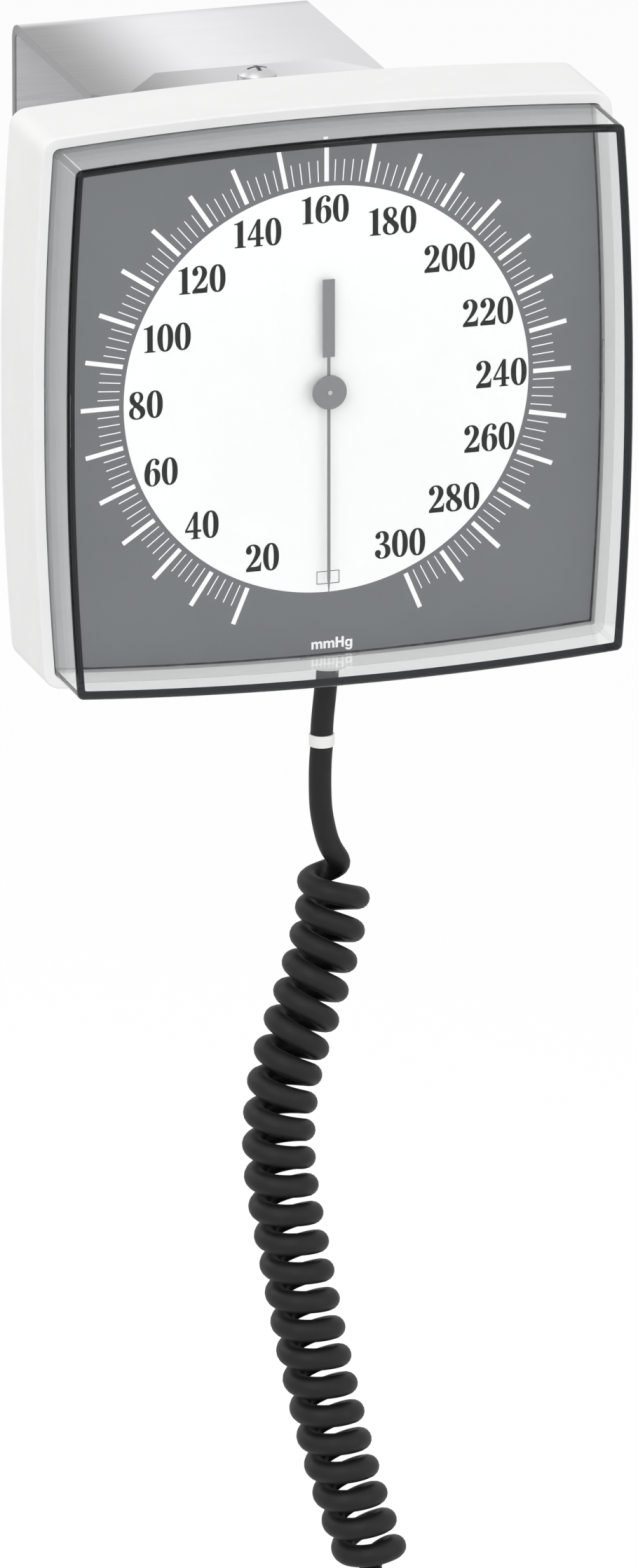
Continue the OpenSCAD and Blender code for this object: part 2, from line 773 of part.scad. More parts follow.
// The pin stands on the capsule and ends in a point, just short of the rocking lever
lever_t = 1;
pin_gap = 0.25;
rock_half = sector_swing / 2;
pin_tip = rocker_y + lever_t / 2 / cos(rock_half) + lever_len * tan(rock_half) + pin_gap;
capsule_travel = 2 * lever_len * tan(rock_half);

module capsule_pin() {
    color(steel) on_head() union() {
        translate([0, capsule_front, 0]) rotate([90, 0, 0])
            cylinder(d1 = 2.4, d2 = 0.8, h = capsule_front - pin_tip);
    }
}

// Rocking shaft, drawn at the middle of its swing and turned back to rest
module rocking_shaft() {
    left = ear_x[0] - ear_t / 2;
    right = ear_x[1] + ear_t / 2;
    finger_len = drive_r + 0.2;
    color(steel) on_head() translate([0, rocker_y, lever_len]) rotate([rock_half, 0, 0]) union() {
        translate([left, 0, 0]) rotate([0, 90, 0]) cylinder(d = arbor_d, h = right - left);
        translate([-0.8, -lever_t / 2, -lever_len - 0.9]) cube([1.6, lever_t, lever_len + 0.9]);
        translate([finger_x - finger_w / 2, -finger_len, -drive_pin_d / 2 - drive_gap - lever_t])
            cube([finger_w, finger_len, lever_t]);
        translate([finger_x - finger_w / 2, -lever_t / 2, -drive_pin_d / 2 - drive_gap - lever_t])
            cube([finger_w, lever_t, drive_pin_d / 2 + drive_gap + lever_t]);
    }
}

// Hairspring: a flat spiral from the collet to the stud
spring_steps = 18;
collet_r = 2;
stud_d = 1.2;
spring_last = spring_turns * spring_steps;
function spring_radius(i) = collet_r + (spring_r - collet_r) * i / spring_last;
function spring_line(side) = [for (i = [0:spring_last])
    let (a = 360 * i / spring_steps, r = spring_radius(i) + side)
    r * [cos(a), sin(a)]];

module spring_shape() {
    inside = spring_line(0);
    polygon(concat(spring_line(spring_t), [for (i = [len(inside) - 1:-1:0]) inside[i]]));
}

module hairspring() {
    color(brass) on_head() slab(spring_y, spring_y + spring_h) spring_shape();
}

module spring_collet() {
    color(brass) on_head() difference() {
        bar_y([0, 0], 2 * collet_r, collet_y, collet_y + collet_t);
        bar_y([0, 0], arbor_d, collet_y - past, collet_y + collet_t + past);
    }
}

// The stud stands on the front plate and holds the end of the spring in a slit
module spring_stud() {
    color(brass) on_head() difference() {
        bar_y([spring_r + spring_t / 2, 0], stud_d, front_y + plate_t, spring_y + spring_h + 0.3);
        slab(spring_y, spring_y + spring_h) spring_shape();
    }
}

// Pointer
blade_y = dial_depth - blade_gap - blade_t;
bush_d = 3;

module pointer_blade() {
    color(dial_grey) on_head() slab(blade_y, blade_y + blade_t) difference() {
        union() {
            polygon([[-needle_w / 2, bar_start], [-needle_w / 2, 5 - needle_len], [0, -needle_len],
                [needle_w / 2, 5 - needle_len], [needle_w / 2, bar_start]]);
            translate([-bar_w / 2, bar_start]) square([bar_w, bar_len]);
            circle(d = 0.6 * hub_d);
        }
        circle(d = bush_d);
    }
}

module pointer_hub() {
    color(dial_grey) on_head() difference() {
        union() {
            bar_y([0, 0], hub_d, blade_y - hub_t, blade_y);
            bar_y([0, 0], bush_d, blade_y - hub_t / 2, dial_depth - 0.4);
        }
        bar_y([0, 0], arbor_d, blade_y - hub_t - past, dial_depth);
    }
}

// Air inlet: block on the tongue of the base plate, inner hose and outlet nipple
block_w = 10;
block_h = 8;
block_t = 8;
block_z = plate_d / 2 + 5;
pipe_d = 1.8;
inlet_y = base_front - block_t + 3;
inlet_low = -block_z - block_h / 2 - 1;

module inlet_block() {
    color(brass) on_head() union() {
        translate([-block_w / 2, base_front - block_t, -block_z - block_h / 2])
            cube([block_w, block_t, block_h]);
        translate([0, inlet_y, inlet_low - barb_len]) cylinder(d = barb_d, h = barb_len + 2);
        translate([0, base_front - boss_t / 2, -block_z]) cylinder(d = pipe_d, h = block_z - 4);
        difference() {
            bar_y([0, 0], 2 * crown_r, base_front - boss_t, base_front);
            bar_y([0, 0], 2 * port_r, base_front - boss_t - past, base_front - boss_t / 2);
        }
    }
}

// The outlet nipple passes through the case wall, with a collar below and a nut above
nipple_d = 7;
collar_d = 11.5;
collar_t = 2;
nipple_nut_h = 3.5;
nipple_af = 9.5;
case_low = -flat_z(0);
nut_low = nut_pad - flat_z(wall_t);
nipple_top = nut_low + nipple_nut_h + 1;

module outlet_nipple() {
    color(nylon) on_head() translate([outlet_x, outlet_y, 0]) union() {
        translate([0, 0, case_low - collar_t]) cylinder(d = collar_d, h = collar_t);
        translate([0, 0, case_low]) cylinder(d = nipple_d, h = nipple_top - case_low);
        translate([0, 0, nipple_top]) cylinder(d = barb_d, h = barb_len);
        translate([0, 0, case_low - collar_t - barb_len]) cylinder(d = barb_d, h = barb_len);
    }
}

module nipple_nut() {
    color(nylon) on_head() translate([outlet_x, outlet_y, nut_low]) difference() {
        cylinder(d = nipple_af / cos(30), h = nipple_nut_h, $fn = 6);
        translate([0, 0, -past]) cylinder(d = nipple_d, h = nipple_nut_h + 2 * past);
    }
}

// Hose routes
// Length along a route up to each of its points
function lengths(route) = [for (i = 0, s = 0; i < len(route); i = i + 1,
    s = i < len(route) ? s + norm(route[i] - route[i - 1]) : s) s];
// Slope of a route at its point i, by its neighbours
function slope(route, at, i) = let (a = max(i - 1, 0), b = min(i + 1, len(route) - 1))
    (route[b] - route[a]) / (at[b] - at[a]);
// The stretch that holds length s
function stretch(at, s, i = 0) = i >= len(at) - 2 || s < at[i + 1] ? i : stretch(at, s, i + 1);
// The point at length s on a smooth curve through the route's points
function along(route, at, s) = let (
    i = stretch(at, s),
    h = at[i + 1] - at[i],
    t = (s - at[i]) / h,
    m0 = slope(route, at, i) * h,
    m1 = slope(route, at, i + 1) * h)
    (2 * t * t * t - 3 * t * t + 1) * route[i] + (t * t * t - 2 * t * t + t) * m0
    + (3 * t * t - 2 * t * t * t) * route[i + 1] + (t * t * t - t * t) * m1;

// Directions along a list of points, with given directions at its two ends
function directions(p, first, last) = [for (i = [0:len(p) - 1])
    i == 0 ? unit(first) : i == len(p) - 1 ? unit(last) : unit(p[i + 1] - p[i - 1])];
// A side direction carried along without twist
function carried(t, start) = [for (i = 0, n = unit(start - (start * t[0]) * t[0]); i < len(t); i = i + 1,
    n = i < len(t) ? unit(n - (n * t[i]) * t[i]) : n) n];
// Rings of a round tube
// Their corners lie as far outside the hose's round as their flats lie inside it.
function tube_rings(p, t, radius, sides) =
    let (n = carried(t, [1, 0, 0]), r = 2 * radius / (1 + cos(180 / sides)))
    [for (i = [0:len(p) - 1]) let (w = cross(t[i], n[i]))
        [for (k = [0:sides - 1]) let (a = -360 * k / sides) p[i] + r * (cos(a) * n[i] + sin(a) * w)]];

module tube(p, first, last, sides) {
    skin(tube_rings(p, directions(p, first, last), hose_d / 2, sides));
}

// Inner hose: from the inlet spigot down and forward to the nipple
function inner_points() = let (
    a = [0, inlet_y, inlet_low],
    b = [outlet_x, outlet_y, nipple_top],
    drop = a[2] - b[2],
    bend = drop - 2 * barb_len)
    [for (t = concat([0], [for (i = [0:10]) (barb_len + bend * i / 10) / drop], [1]))
        let (u = max(0, min(1, (t * drop - barb_len) / bend)), e = u * u * (3 - 2 * u))
        [a[0] + (b[0] - a[0]) * e, a[1] + (b[1] - a[1]) * e, a[2] - drop * t]];

// The space that a barb takes in a hose, upright, with its free end at place
module barb(place, up) {
    translate(place - [0, 0, up ? barb_len : 0]) cylinder(d = barb_d, h = barb_len);
}

module inner_hose() {
    p = inner_points();
    color(hose_black) on_head() difference() {
        tube(p, [0, 0, -1], [0, 0, -1], 10);
        barb(p[0], true);
        barb(p[len(p) - 1], false);
    }
}

// The outer hose starts under the nipple's collar. Its route is given from there, as points on the line
// that the hose hangs along and that its curls wind round.
hose_start = [outlet_x, rim_y + outlet_y, case_low - collar_t];
upper_route = [[0, 0, 0], [-0.2, 0, -4], [-0.8, 0, -10], [-1.3, 0, -15], [-1.5, 0, -19]];
lower_route = [[-1.5, 0, -22.6], [-1.9, 0, -28], [-2, 0, -35], [-1.7, 0, -42], [-0.7, -0.1, -48],
    [0.5, -0.3, -53], [1.5, -0.6, -58], [1.85, -1, -63], [1.5, -1.6, -68.5], [0.5, -2.3, -74.5],
    [-1.1, -3.1, -80.5], [-3.2, -4, -87], [-7.6, -5.7, -99], [-14, -7.9, -115], [-17.5, -10, -132],
    [-17.9, -12.3, -149], [-14.3, -15.7, -175], [-10, -19, -202], [-4.8, -22.3, -228],
    [-0.6, -24.5, -245], [4.6, -26.4, -262], [7.2, -27.2, -270], [9.5, -27.9, -280],
    [10.3, -28.2, -290], [10.5, -28.3, -300], [10.5, -28.3, -330]];
lower_at = lengths(lower_route);

module upper_hose() {
    at = lengths(upper_route);
    last = at[len(at) - 1];
    p = [for (i = [0:4]) hose_start + along(upper_route, at, last * i / 4)];
    color(hose_black) difference() {
        tube(p, [0, 0, -1], [0, 0, -1], 12);
        barb(p[0], true);
        barb(p[4], false);
    }
}

// The coupling sits in both hoses by its barbs, and only its collar shows
module hose_coupling() {
    top = hose_start + upper_route[len(upper_route) - 1];
    color(nylon) translate(top) union() {
        barb([0, 0, 0], false);
        translate([0, 0, -coupling_len]) cylinder(d = coupling_d, h = coupling_len);
        barb([0, 0, -coupling_len], true);
    }
}

// Where the curls start and end, in degrees of winding and in length along the route
first_turn = 163;
ramp_turn = 225;
ramp_reach = 9;
coil_start = 20.8;
straight = hose_d;
full_turn = (curls - 0.5) * 360;
ramp_s = coil_start + straight;
full_s = ramp_s + ramp_reach + curl_pitch * ramp_turn / 360;
end_s = full_s + curl_pitch * full_turn / 360;
close_s = end_s + ramp_reach + curl_pitch * ramp_turn / 360;
coil_end = close_s + straight;
rings_per_curl = 8;
ramp_rings = 8;

// Length along the route, turn and radius of a winding point, given as its share of one lead-in
function lead_point(t) = [
    ramp_s + (full_s - ramp_s) - curl_pitch * ramp_turn / 360 * (1 - t) - ramp_reach * pow(1 - t, 3),
    first_turn - ramp_turn * (1 - t),
    curl_r * t * t * (3 - 2 * t)];
function lead_out(t) = [
    end_s + curl_pitch * ramp_turn / 360 * (1 - t) + ramp_reach * pow(1 - t, 3),
    first_turn + full_turn + ramp_turn * (1 - t),
    curl_r * t * t * (3 - 2 * t)];
full_rings = round(full_turn / 360 * rings_per_curl);
winding = concat(
    [[coil_start, first_turn - ramp_turn, 0], [coil_start + straight / 2, first_turn - ramp_turn, 0]],
    [for (i = [0:ramp_rings - 1]) lead_point(i / ramp_rings)],
    [for (i = [0:full_rings]) [full_s + (end_s - full_s) * i / full_rings,
        first_turn + full_turn * i / full_rings, curl_r]],
    [for (i = [ramp_rings - 1:-1:0]) lead_out(i / ramp_rings)],
    [[coil_end - straight / 2, first_turn + full_turn + ramp_turn, 0],
        [coil_end, first_turn + full_turn + ramp_turn, 0]]);

// A winding point in space: round the route, in the plane square to it
function route_dir(s) = unit(along(lower_route, lower_at, s + 0.5) - along(lower_route, lower_at, s - 0.5));
function wound(w) = let (
    t = route_dir(w[0]),
    right = unit([1, 0, 0] - t[0] * t),
    back = cross(right, t))
    hose_start + along(lower_route, lower_at, w[0]) + w[2] * (cos(w[1]) * right + sin(w[1]) * back);
coil_points = [for (w = winding) wound(w)];

// Least gap between one curl and the next, measured between the facets of the hose's middle line
function gap_to(p, a, b) = let (v = b - a, t = max(0, min(1, (p - a) * v / (v * v)))) norm(p - a - t * v);
curl_gap = min([for (i = [0:len(coil_points) - 1], j = [i + 5:min(i + 12, len(coil_points) - 2)])
    gap_to(coil_points[i], coil_points[j], coil_points[j + 1])]) - hose_d;
echo(least_gap_between_curls = curl_gap);
coil_length = sum([for (i = [0:len(coil_points) - 2]) norm(coil_points[i + 1] - coil_points[i])],
    len(coil_points) - 2);
echo(hose_length_in_the_coil = coil_length);

function lower_points(s0, s1, steps) = [for (i = [0:steps])
    hose_start + along(lower_route, lower_at, s0 + (s1 - s0) * i / steps)];

module lead_hose() {
    p = lower_points(0, coil_start, 6);
    color(hose_black) difference() {
        tube(p, [0, 0, -1], route_dir(coil_start), 12);
        barb(p[0], true);
    }
}

module coiled_hose() {
    color(hose_black) tube(coil_points, route_dir(coil_start), route_dir(coil_end), 6);
}

tail_len = 45;
tail_end = coil_end + tail_len;

module tail_hose() {
    p = lower_points(coil_end, tail_end, 6);
    color(hose_black) difference() {
        tube(p, route_dir(coil_end), [0, 0, -1], 12);
        barb(p[6], false);
    }
}

module end_connector() {
    top = hose_start + along(lower_route, lower_at, tail_end);
    color(nylon) translate(top) mirror([0, 0, 1]) union() {
        barb([0, 0, 0], true);
        cylinder(d = plug_d, h = plug_len);
        cylinder(d = plug_d + 2, h = 2);
        translate([0, 0, plug_len - 3]) cylinder(d = plug_d + 1.5, h = 3);
        translate([0, 0, plug_len]) cylinder(d = spigot_d, h = spigot_len);
    }
}

wall_bracket();
pivot_screws();
pivot_washers();
pivot_nuts();
swivel_yoke();
yoke_screws();
case_shell();
clear_cover();
dial_plate();
front_plate();
rear_plate();
base_plate();
plate_pillars();
base_pillars();
plate_screws();
base_screws();
capsule();
capsule_pin();
rocking_shaft();
sector_gear();
sector_arbor();
pinion_arbor();
hairspring();
spring_collet();
spring_stud();
pointer_blade();
pointer_hub();
inlet_block();
inner_hose();
outlet_nipple();
nipple_nut();
upper_hose();
hose_coupling();
lead_hose();
coiled_hose();
tail_hose();
end_connector();
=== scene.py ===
from math import atan2, cos, pi, radians, sin, sqrt

import bmesh
import bpy
from mathutils import Matrix, Vector


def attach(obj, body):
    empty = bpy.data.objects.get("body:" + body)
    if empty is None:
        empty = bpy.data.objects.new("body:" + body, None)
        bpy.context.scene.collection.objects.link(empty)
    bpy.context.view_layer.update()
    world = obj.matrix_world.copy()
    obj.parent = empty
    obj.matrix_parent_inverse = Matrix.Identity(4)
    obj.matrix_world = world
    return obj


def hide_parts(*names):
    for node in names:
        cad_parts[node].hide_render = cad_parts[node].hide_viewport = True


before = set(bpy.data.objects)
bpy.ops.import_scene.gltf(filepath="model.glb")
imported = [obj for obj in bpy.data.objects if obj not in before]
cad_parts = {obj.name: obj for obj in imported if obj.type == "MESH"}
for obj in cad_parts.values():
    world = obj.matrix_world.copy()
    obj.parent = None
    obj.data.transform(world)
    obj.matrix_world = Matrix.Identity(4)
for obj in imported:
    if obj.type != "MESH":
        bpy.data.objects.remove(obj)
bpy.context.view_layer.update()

MM = 0.001
NEAR = 1e-6
CURVE_DOUBLES = 1e-7
SMOOTH_ANGLE = radians(30)


# Handling of objects and edit mode
def deselect_all():
    for o in list(bpy.context.selected_objects):
        o.select_set(False)
    bpy.context.view_layer.objects.active = None


def select_only(*objects):
    deselect_all()
    for o in objects:
        o.select_set(True)
    bpy.context.view_layer.objects.active = objects[0]


def linked(name, data):
    """A new object in the scene with this mesh or curve"""
    o = bpy.data.objects.new(name, data)
    bpy.context.scene.collection.objects.link(o)
    return o


def added(name):
    """The object that the last primitive made, with its place put into its mesh"""
    o = bpy.context.active_object
    o.name = name
    o.data.name = name
    bpy.ops.object.transform_apply(location=True, rotation=True, scale=True)
    return o


def remove(objects):
    for o in list(objects):
        bpy.data.objects.remove(o)


def edit(o, kind="FACE"):
    """Opens a piece in edit mode with nothing selected"""
    if bpy.context.mode != "EDIT_MESH":
        select_only(o)
        bpy.ops.object.mode_set(mode="EDIT")
    bpy.ops.mesh.select_mode(type=kind)
    bpy.ops.mesh.select_all(action="DESELECT")


def edit_all(o):
    edit(o)
    bpy.ops.mesh.select_all(action="SELECT")


def leave():
    bpy.ops.object.mode_set(mode="OBJECT")


def pick_faces(o, test):
    """Selects the faces whose middle passes the test"""
    edit(o, "FACE")
    mesh = bmesh.from_edit_mesh(o.data)
    for f in mesh.faces:
        f.select_set(test(f.calc_center_median()))
    bmesh.update_edit_mesh(o.data)


def pick_edges(o, test):
    """Selects the edges whose two ends pass the test"""
    edit(o, "EDGE")
    mesh = bmesh.from_edit_mesh(o.data)
    for e in mesh.edges:
        if test(e.verts[0].co, e.verts[1].co):
            e.select_set(True)
    bmesh.update_edit_mesh(o.data)


def push(y):
    """Extrudes what is selected along Y"""
    bpy.ops.mesh.extrude_region_move(TRANSFORM_OT_translate={"value": (0, y, 0)})


def draw_out(o, y):
    """Makes a flat piece a solid by drawing it out along Y"""
    edit_all(o)
    push(y)


def round_edges(width, steps):
    bpy.ops.mesh.bevel(offset=width, segments=steps, profile=0.5, affect="EDGES")


def outward(o):
    """Turns all faces outward and leaves edit mode"""
    edit_all(o)
    bpy.ops.mesh.normals_make_consistent(inside=False)
    leave()


def smooth(o):
    """Smooth shading over rounded edges, with flat faces that stay flat"""
    select_only(o)
    bpy.ops.object.shade_smooth_by_angle(angle=SMOOTH_ANGLE)
    even = o.modifiers.new("even", "WEIGHTED_NORMAL")
    even.keep_sharp = True
    bpy.ops.object.modifier_apply(modifier=even.name)


def merged(o):
    """Joins the doubled points of a converted curve and turns all faces outward"""
    edit_all(o)
    bpy.ops.mesh.remove_doubles(threshold=CURVE_DOUBLES)
    outward(o)
    return o


def joined(name, pieces):
    select_only(*pieces)
    bpy.ops.object.join()
    o = bpy.context.active_object
    o.name = name
    o.data.name = name
    return o


def combined(o, operation, tools):
    """Adds closed details to a closed piece (UNION) or cuts them out of it (DIFFERENCE)"""
    tools = joined("tools", tools)
    both = o.modifiers.new("both", "BOOLEAN")
    both.operation = operation
    both.object = tools
    select_only(o)
    bpy.ops.object.modifier_apply(modifier=both.name)
    remove([tools])


def dress(o, material, body, slot, *nodes):
    """Gives a piece its material, its body and the CAD nodes that it stands for, which it hides. The
    slot is not used.
    """
    o.data.materials.clear()
    o.data.materials.append(material)
    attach(o, body)
    if nodes:
        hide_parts(*nodes)
    return o


# Camera, fitted to the outlines of case, cover and bracket
CAMERA_TURN = radians(17.19)
CAMERA_LIFT = radians(17.80)
CAMERA_AWAY = 6.3
CAMERA_TARGET = Vector((-12.797, -202.446, -108.324)) * MM
CAMERA_SENSOR = 36
CAMERA_LENS = 499.8
CAMERA_REACH = 60

look = Vector((sin(CAMERA_TURN) * cos(CAMERA_LIFT), cos(CAMERA_TURN) * cos(CAMERA_LIFT),
               -sin(CAMERA_LIFT)))
deselect_all()
bpy.ops.object.camera_add(location=CAMERA_TARGET - look * CAMERA_AWAY,
                          rotation=(pi / 2 - CAMERA_LIFT, 0, -CAMERA_TURN))
camera = bpy.context.active_object
camera.data.sensor_fit = "VERTICAL"
camera.data.sensor_height = CAMERA_SENSOR
camera.data.lens = CAMERA_LENS
camera.data.clip_end = CAMERA_REACH
bpy.context.scene.camera = camera

# Hose
RIM_Y = -170 * MM
HOSE_D = 6.7 * MM
HOSE_FACETS = 7
HOSE_START = Vector((2.5 * MM, RIM_Y + 9.5 * MM, -87.9468 * MM))
# The line that the hose hangs along, from the collar of the nipple down, in millimetres
UPPER_LINE = [(0, 0, 0), (-0.2, 0, -4), (-0.8, 0, -10), (-1.3, 0, -15), (-1.5, 0, -19)]
LOWER_LINE = [
    (-1.5, 0, -22.6), (-1.9, 0, -28), (-2, 0, -35), (-1.7, 0, -42), (-0.7, -0.1, -48), (0.5, -0.3, -53),
    (1.5, -0.6, -58), (1.85, -1, -63), (1.5, -1.6, -68.5), (0.5, -2.3, -74.5), (-1.1, -3.1, -80.5),
    (-3.2, -4, -87), (-7.6, -5.7, -99), (-14, -7.9, -115), (-17.5, -10, -132), (-17.9, -12.3, -149),
    (-14.3, -15.7, -175), (-10, -19, -202), (-4.8, -22.3, -228), (-0.6, -24.5, -245), (4.6, -26.4, -262),
    (7.2, -27.2, -270), (9.5, -27.9, -280), (10.3, -28.2, -290), (10.5, -28.3, -300),
    (10.5, -28.3, -330)]
# The curls, in millimetres and degrees, with a ramp and a short straight piece at each end
CURL_R = 7.4
CURL_PITCH = 8.83
CURLS = 24
FIRST_TURN = 163
RAMP_TURN = 225
RAMP_REACH = 9
COIL_START = 20.8
STRAIGHT = 6.7
TAIL = 45
FULL_TURN = (CURLS - 0.5) * 360
RAMP_RISE = CURL_PITCH * RAMP_TURN / 360
FULL_S = COIL_START + STRAIGHT + RAMP_REACH + RAMP_RISE
END_S = FULL_S + CURL_PITCH * FULL_TURN / 360
COIL_END = END_S + RAMP_REACH + RAMP_RISE + STRAIGHT
TAIL_START = COIL_END - STRAIGHT
TAIL_END = COIL_END + TAIL
# How finely each stretch of the hose is divided
UPPER_STEPS = 8
PLAIN_STEPS = 16
RAMP_STEPS = 30
POINTS_PER_CURL = 40
CURL_STEPS = int((CURLS - 0.5) * POINTS_PER_CURL)
LOOK_AHEAD = 0.5


class Line:
    """A smooth curve through points, read by its length"""

    def __init__(self, points):
        self.points = [Vector(p) for p in points]
        self.at = [0.0]
        for a, b in zip(self.points, self.points[1:]):
            self.at.append(self.at[-1] + (b - a).length)

    def slope(self, i):
        a, b = max(i - 1, 0), min(i + 1, len(self.points) - 1)
        return (self.points[b] - self.points[a]) / (self.at[b] - self.at[a])

    def point(self, s):
        i = 0
        while i < len(self.at) - 2 and s >= self.at[i + 1]:
            i += 1
        h = self.at[i + 1] - self.at[i]
        t = (s - self.at[i]) / h
        return ((2 * t**3 - 3 * t**2 + 1) * self.points[i]
                + (t**3 - 2 * t**2 + t) * h * self.slope(i)
                + (3 * t**2 - 2 * t**3) * self.points[i + 1]
                + (t**3 - t**2) * h * self.slope(i + 1))

    def direction(self, s):
        return (self.point(s + LOOK_AHEAD) - self.point(s - LOOK_AHEAD)).normalized()


def curl_point(line, s, turn, r):
    """A point of the winding round the line, at length s, turned by turn degrees"""
    ahead = line.direction(s)
    right = (Vector((1, 0, 0)) - ahead[0] * ahead).normalized()
    back = right.cross(ahead)
    return line.point(s) + r * (cos(radians(turn)) * right + sin(radians(turn)) * back)


def ramp_point(line, s, turn, side, share):
    """A point of the ramp before (side -1) or after (side 1) the curls, at its share of full width"""
    rest = 1 - share
    return curl_point(line, s + side * (RAMP_RISE * rest + RAMP_REACH * rest**3),
                      turn + side * RAMP_TURN * rest, CURL_R * share * share * (3 - 2 * share))


def hose_points():
    """The middle line of the hose: upper piece, lead, ramp, curls, ramp and tail"""
    upper, lower = Line(UPPER_LINE), Line(LOWER_LINE)
    points = [upper.point(upper.at[-1] * i / UPPER_STEPS) for i in range(UPPER_STEPS + 1)]
    points += [lower.point((COIL_START + STRAIGHT) * i / PLAIN_STEPS)
               for i in range(PLAIN_STEPS + 1)]
    for i in range(1, RAMP_STEPS):
        points.append(ramp_point(lower, FULL_S, FIRST_TURN, -1, i / RAMP_STEPS))
    for i in range(CURL_STEPS + 1):
        points.append(curl_point(lower, FULL_S + (END_S - FULL_S) * i / CURL_STEPS,
                                 FIRST_TURN + FULL_TURN * i / CURL_STEPS, CURL_R))
    for i in range(RAMP_STEPS - 1, 0, -1):
        points.append(ramp_point(lower, END_S, FIRST_TURN + FULL_TURN, 1, i / RAMP_STEPS))
    points += [lower.point(TAIL_START + (TAIL_END - TAIL_START) * i / PLAIN_STEPS)
               for i in range(PLAIN_STEPS + 1)]
    return [HOSE_START + p * MM for p in points]


def tube(name, points, radius):
    """A round tube with closed ends along points"""
    data = bpy.data.curves.new(name, "CURVE")
    data.dimensions = "3D"
    data.bevel_depth = radius
    data.bevel_resolution = HOSE_FACETS
    data.use_fill_caps = True
    spline = data.splines.new("POLY")
    spline.points.add(len(points) - 1)
    for place, p in zip(spline.points, points):
        place.co = (*p, 1)
    spline.use_smooth = True
    return linked(name, data)


hose = tube("hose", hose_points(), HOSE_D / 2)

# Case and cover
CASE_W = 178 * MM
CASE_H = 172 * MM
SIDE_BOW = 3.3 * MM
CORNER_R = 5.5 * MM
CASE_BACK_Y = -135 * MM
WALL = 3.3 * MM
BACK = 3 * MM
INSIDE_Y = CASE_BACK_Y - BACK
RIM_ROUND = 0.8 * MM
RIM_STEPS = 4
BACK_ROUND = 2.5 * MM
ROUND_STEPS = 5
LEAST_CORNER_R = 0.5 * MM
FLAT_LOSS = 0.048 * MM
SIDE_STEPS = 14
CORNER_STEPS = 8
DIAL_Y = RIM_Y + 2.4 * MM
DIAL_BACK_Y = RIM_Y + 3.6 * MM
COVER_INSET = 3.5 * MM
COVER_WALL = 2.5 * MM
COVER_RISE = 23.5 * MM
COVER_ROUND = 1.5 * MM
LIP_STEP = 0.5 * MM
# Beads of the cover, and their room in the case
BEAD_Y = RIM_Y + 1.2 * MM
BEAD_OUT = 0.7 * MM
BEAD_LONG = 16 * MM
BEAD_HIGH = 1 * MM
BEAD_PLAY = 0.15 * MM
# Ribs, placed by shares of the case's width or height, and bosses, all sunk a little into their walls
RIB_REACH = 5 * MM
RIB_HALF = 1 * MM
SIDE_RIBS = (-0.28, 0, 0.28)
LEVEL_RIBS = (-0.28, -0.1, 0.28)
SUNK = 0.4 * MM
BOSS_R = 4.5 * MM
BOSS_SIDES = 48
YOKE_BOSS = 8 * MM
BASE_BOSS = 1 * MM
# Holes, whose cutters pass the back
HOLE_SIDES = 32
YOKE_HOLE_R = 2 * MM
YOKE_HOLE_DEEP = 9 * MM
PAST_BACK = 1 * MM
STUD_HOLE_R = 1.5 * MM
STUD_HOLE_DEEP = 1.2 * MM
NIPPLE_D = 7 * MM
NIPPLE_HOLE_LONG = 8 * MM
YOKE_SCREW_X = 26 * MM
YOKE_SCREW_Z = 40 * MM
YOKE_SCREWS = [(x * YOKE_SCREW_X, z * YOKE_SCREW_Z) for x in (-1, 1) for z in (-1, 1)]
STUD_R = 27.5 * MM
BASE_STUDS = [(STUD_R * cos(radians(a)), STUD_R * sin(radians(a))) for a in (0, 120, 240)]


def bowed_outline(inset):
    """Points (x, z) of the square with bowed sides, drawn in by inset, anticlockwise from the front"""
    half_w, half_h = CASE_W / 2, CASE_H / 2
    upright_r = ((half_h - SIDE_BOW)**2 + SIDE_BOW**2) / (2 * SIDE_BOW)
    level_r = ((half_w - SIDE_BOW)**2 + SIDE_BOW**2) / (2 * SIDE_BOW)
    upright_c = Vector((half_w - upright_r, 0))
    level_c = Vector((0, half_h - level_r))
    r = max(CORNER_R - inset, LEAST_CORNER_R)
    a, b = upright_r - inset - r, level_r - inset - r
    across = level_c - upright_c
    d = across.length
    e = across / d
    along = (a * a - b * b + d * d) / (2 * d)
    out = sqrt(a * a - along * along)
    corner = upright_c + along * e + out * Vector((-e.y, e.x)) * (1 if e.x > 0 else -1)
    a1 = atan2(corner.y - upright_c.y, corner.x - upright_c.x)
    a2 = atan2(corner.y - level_c.y, corner.x - level_c.x)
    quarter = []
    for i in range(SIDE_STEPS):
        t = a1 * (i + 0.5) / SIDE_STEPS
        quarter.append(upright_c + (upright_r - inset) * Vector((cos(t), sin(t))))
    for i in range(CORNER_STEPS + 1):
        t = a1 + (a2 - a1) * i / CORNER_STEPS
        quarter.append(corner + r * Vector((cos(t), sin(t))))
    for i in range(SIDE_STEPS):
        t = a2 + (pi / 2 - a2) * (i + 0.5) / SIDE_STEPS
        quarter.append(level_c + (level_r - inset) * Vector((cos(t), sin(t))))
    most_x, most_z = half_w - inset - FLAT_LOSS, half_h - inset - FLAT_LOSS
    quarter = [(min(p.x, most_x), min(p.y, most_z)) for p in quarter]
    back = quarter[::-1]
    return (quarter + [(-x, z) for x, z in back] + [(-x, -z) for x, z in quarter]
            + [(x, -z) for x, z in back])


def bowed_face(name, inset, y):
    """One flat face with the bowed outline, at depth y"""
    points = bowed_outline(inset)
    bpy.ops.mesh.primitive_circle_add(vertices=len(points), radius=CASE_W / 2, fill_type="NGON",
                                      location=(0, y, 0), rotation=(pi / 2, 0, 0))
    o = added(name)
    for v, (x, z) in zip(o.data.vertices, points):
        v.co = (x, y, z)
    return o


def at_depth(y):
    return lambda a, b: abs(a.y - y) < NEAR and abs(b.y - y) < NEAR


def face_at(y):
    return lambda centre: abs(centre.y - y) < NEAR


